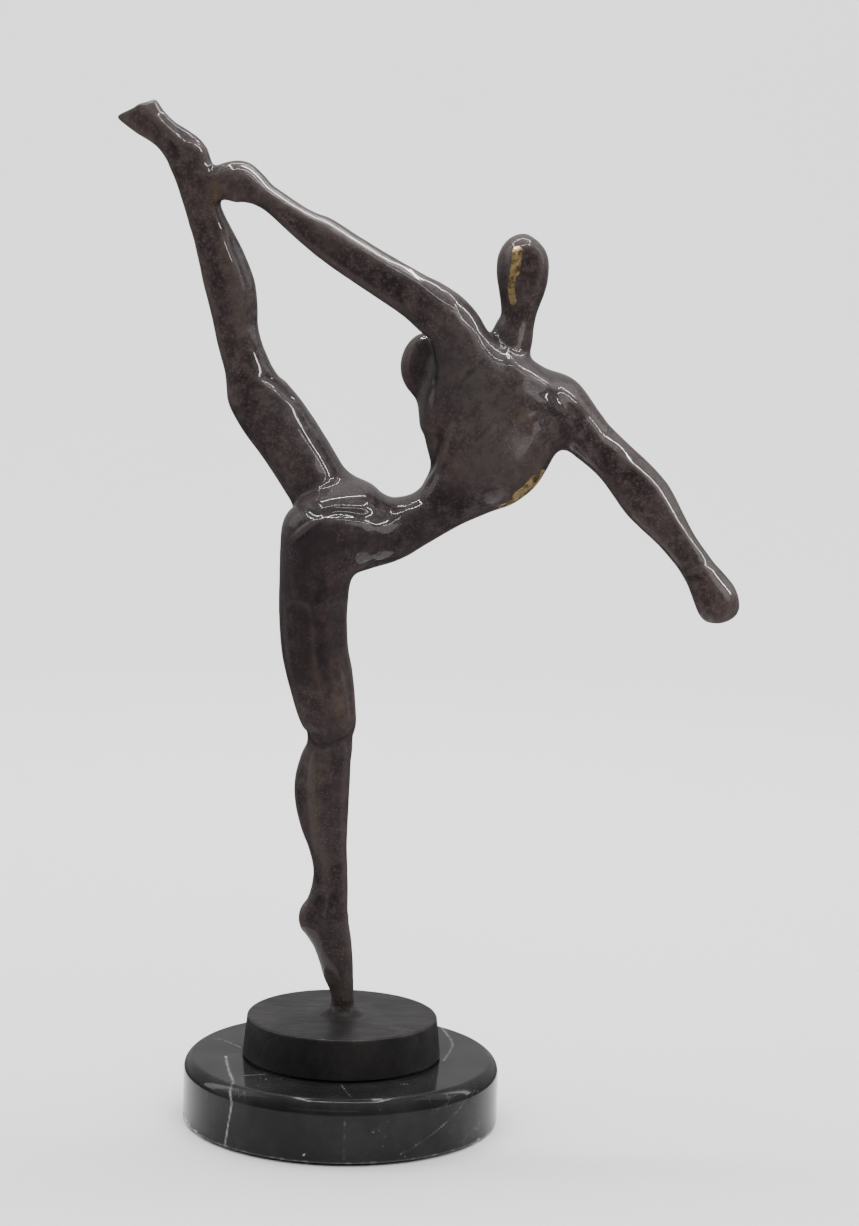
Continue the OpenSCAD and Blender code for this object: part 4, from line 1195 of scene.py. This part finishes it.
# Strip lamps: name, place, target, width, height, brightness, direction of the height, pieces lit.
STRIPS = [
    ("arm_top", (0.43, 0.02, 1.1), (0, 0, 0.43), 0.02, 1.1, 190, ARM_LINE, ("torso",)),
    ("arm_low", (0.43, -0.1, 1.1), (0, 0, 0.43), 0.06, 1.1, 260, ARM_LINE, ("trailing_arm",)),
    ("leg", (0.72, -0.45, 0.95), (-0.06, 0, 0.4), 0.12, 0.5, 60, (-0.4, 0, 0.9), ("raised_leg",)),
    ("arm_front", (0.40, -0.59, 0.92), (0, 0, 0.41), 0.013, 0.8, 60, ARM_LINE, ("trailing_arm", "torso")),
    ("reach_wide", (0.79, -0.83, 0.58), (0.14, 0, 0.3), 0.45, 0.8, 4, REACH_LINE, REACHER),
    ("reach", (0.99, -0.55, 0.91), (0.14, 0, 0.3), 0.03, 0.9, 160, REACH_LINE, ("torso",)),
    ("reach_low", (0.99, -0.55, 0.91), (0.14, 0, 0.3), 0.08, 0.9, 160, REACH_LINE, ("reaching_arm",)),
    ("window", (-0.3, -1.6, 0.43), (-0.1, 0, 0.2), 1.4, 0.07, 5, UP, BASE),
    ("far_bar", (0, 0.6, 2.0), (0, 0, 0.2), 2.4, 0.05, 14, UP, BASE),
    ("left_strip", (-1.2, 0.35, 0.6), (0, 0, 0.3), 0.3, 1.0, 3.5, UP, BASE),
    ("right_strip", (1.2, 0.25, 0.6), (0, 0, 0.3), 0.12, 1.0, 7, UP, BASE),
]


def make_lights(pieces, stage):
    """A frame of four light bars overhead, narrow strips for the edges, and soft lamps."""
    centre, wide, deep, bar = Vector((0.02, -0.05, 0.86)), 0.5, 0.36, 0.006
    for name, (u, v), (w, h) in (
            ("bar_back", (0, deep / 2), (wide, bar)), ("bar_front", (0, -deep / 2), (wide, bar)),
            ("bar_left", (-wide / 2, 0), (bar, deep)), ("bar_right", (wide / 2, 0), (bar, deep))):
        place = centre + Vector((u, v, 0))
        bar_lamp = lamp(name, place, place - Vector((0, 0, 1)), w, h, BAR_POWER * max(w, h))
        bar_lamp.visible_diffuse = False
    for name, place, target, wide, high, level, along, lit in STRIPS:
        strip = lamp(name, place, target, wide, high, math.pi * wide * high * level, along)
        strip.visible_diffuse = False
        shade(strip, [pieces[piece] for piece in lit])
    top = lamp("top", (0.1, 0.2, 2.0), (0, 0, 0.2), 1.6, 1.2, TOP_POWER)
    shade(top, [*stage, pieces["plinth"], pieces["marble"]])
    over = lamp("over", (0.1, 0.2, 2.0), (0, 0, 0.2), 1.6, 1.2, OVER_POWER)
    shade(over, [pieces[name] for name in CASTINGS])
    wash = lamp("wash", (0, 0.4, 1.9), (0, 2.2, 0.7), 1.6, 0.5, WASH_POWER)
    fill = lamp("fill", (0.4, -1.1, 1.2), (0.05, 0, 0.4), 1.0, 1.0, FILL_POWER)
    for light in (top, over, wash, fill):
        light.visible_glossy = False
    lamp("left", (-1.4, 0.1, 1.1), (0, 0, 0.2), 0.9, 1.2, SIDE_POWER)
    lamp("right", (1.4, 0.1, 1.1), (0, 0, 0.2), 0.9, 1.2, SIDE_POWER)


# ---------------------------------------------------------------- the whole
skin = figure_bronze()
inside = raw_bronze()
castings = make_castings(skin, inside)
plinth = make_plinth(plinth_bronze(), inside)
marble = make_marble(black_marble())
make_felt(black_felt())
zinc = zinc_steel()
make_stud(zinc)
finishes = {
    "section_dowels": inside, "foot_pin": inside, "plinth_gasket": gasket_rubber(),
    "penny_washer": zinc, "spring_washer": zinc, "hex_nut": zinc,
}
for node, material in finishes.items():
    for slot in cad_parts[node].material_slots:
        slot.material = material
stage = make_studio()
make_room()
make_lights({**castings, "plinth": plinth, "marble": marble}, stage)
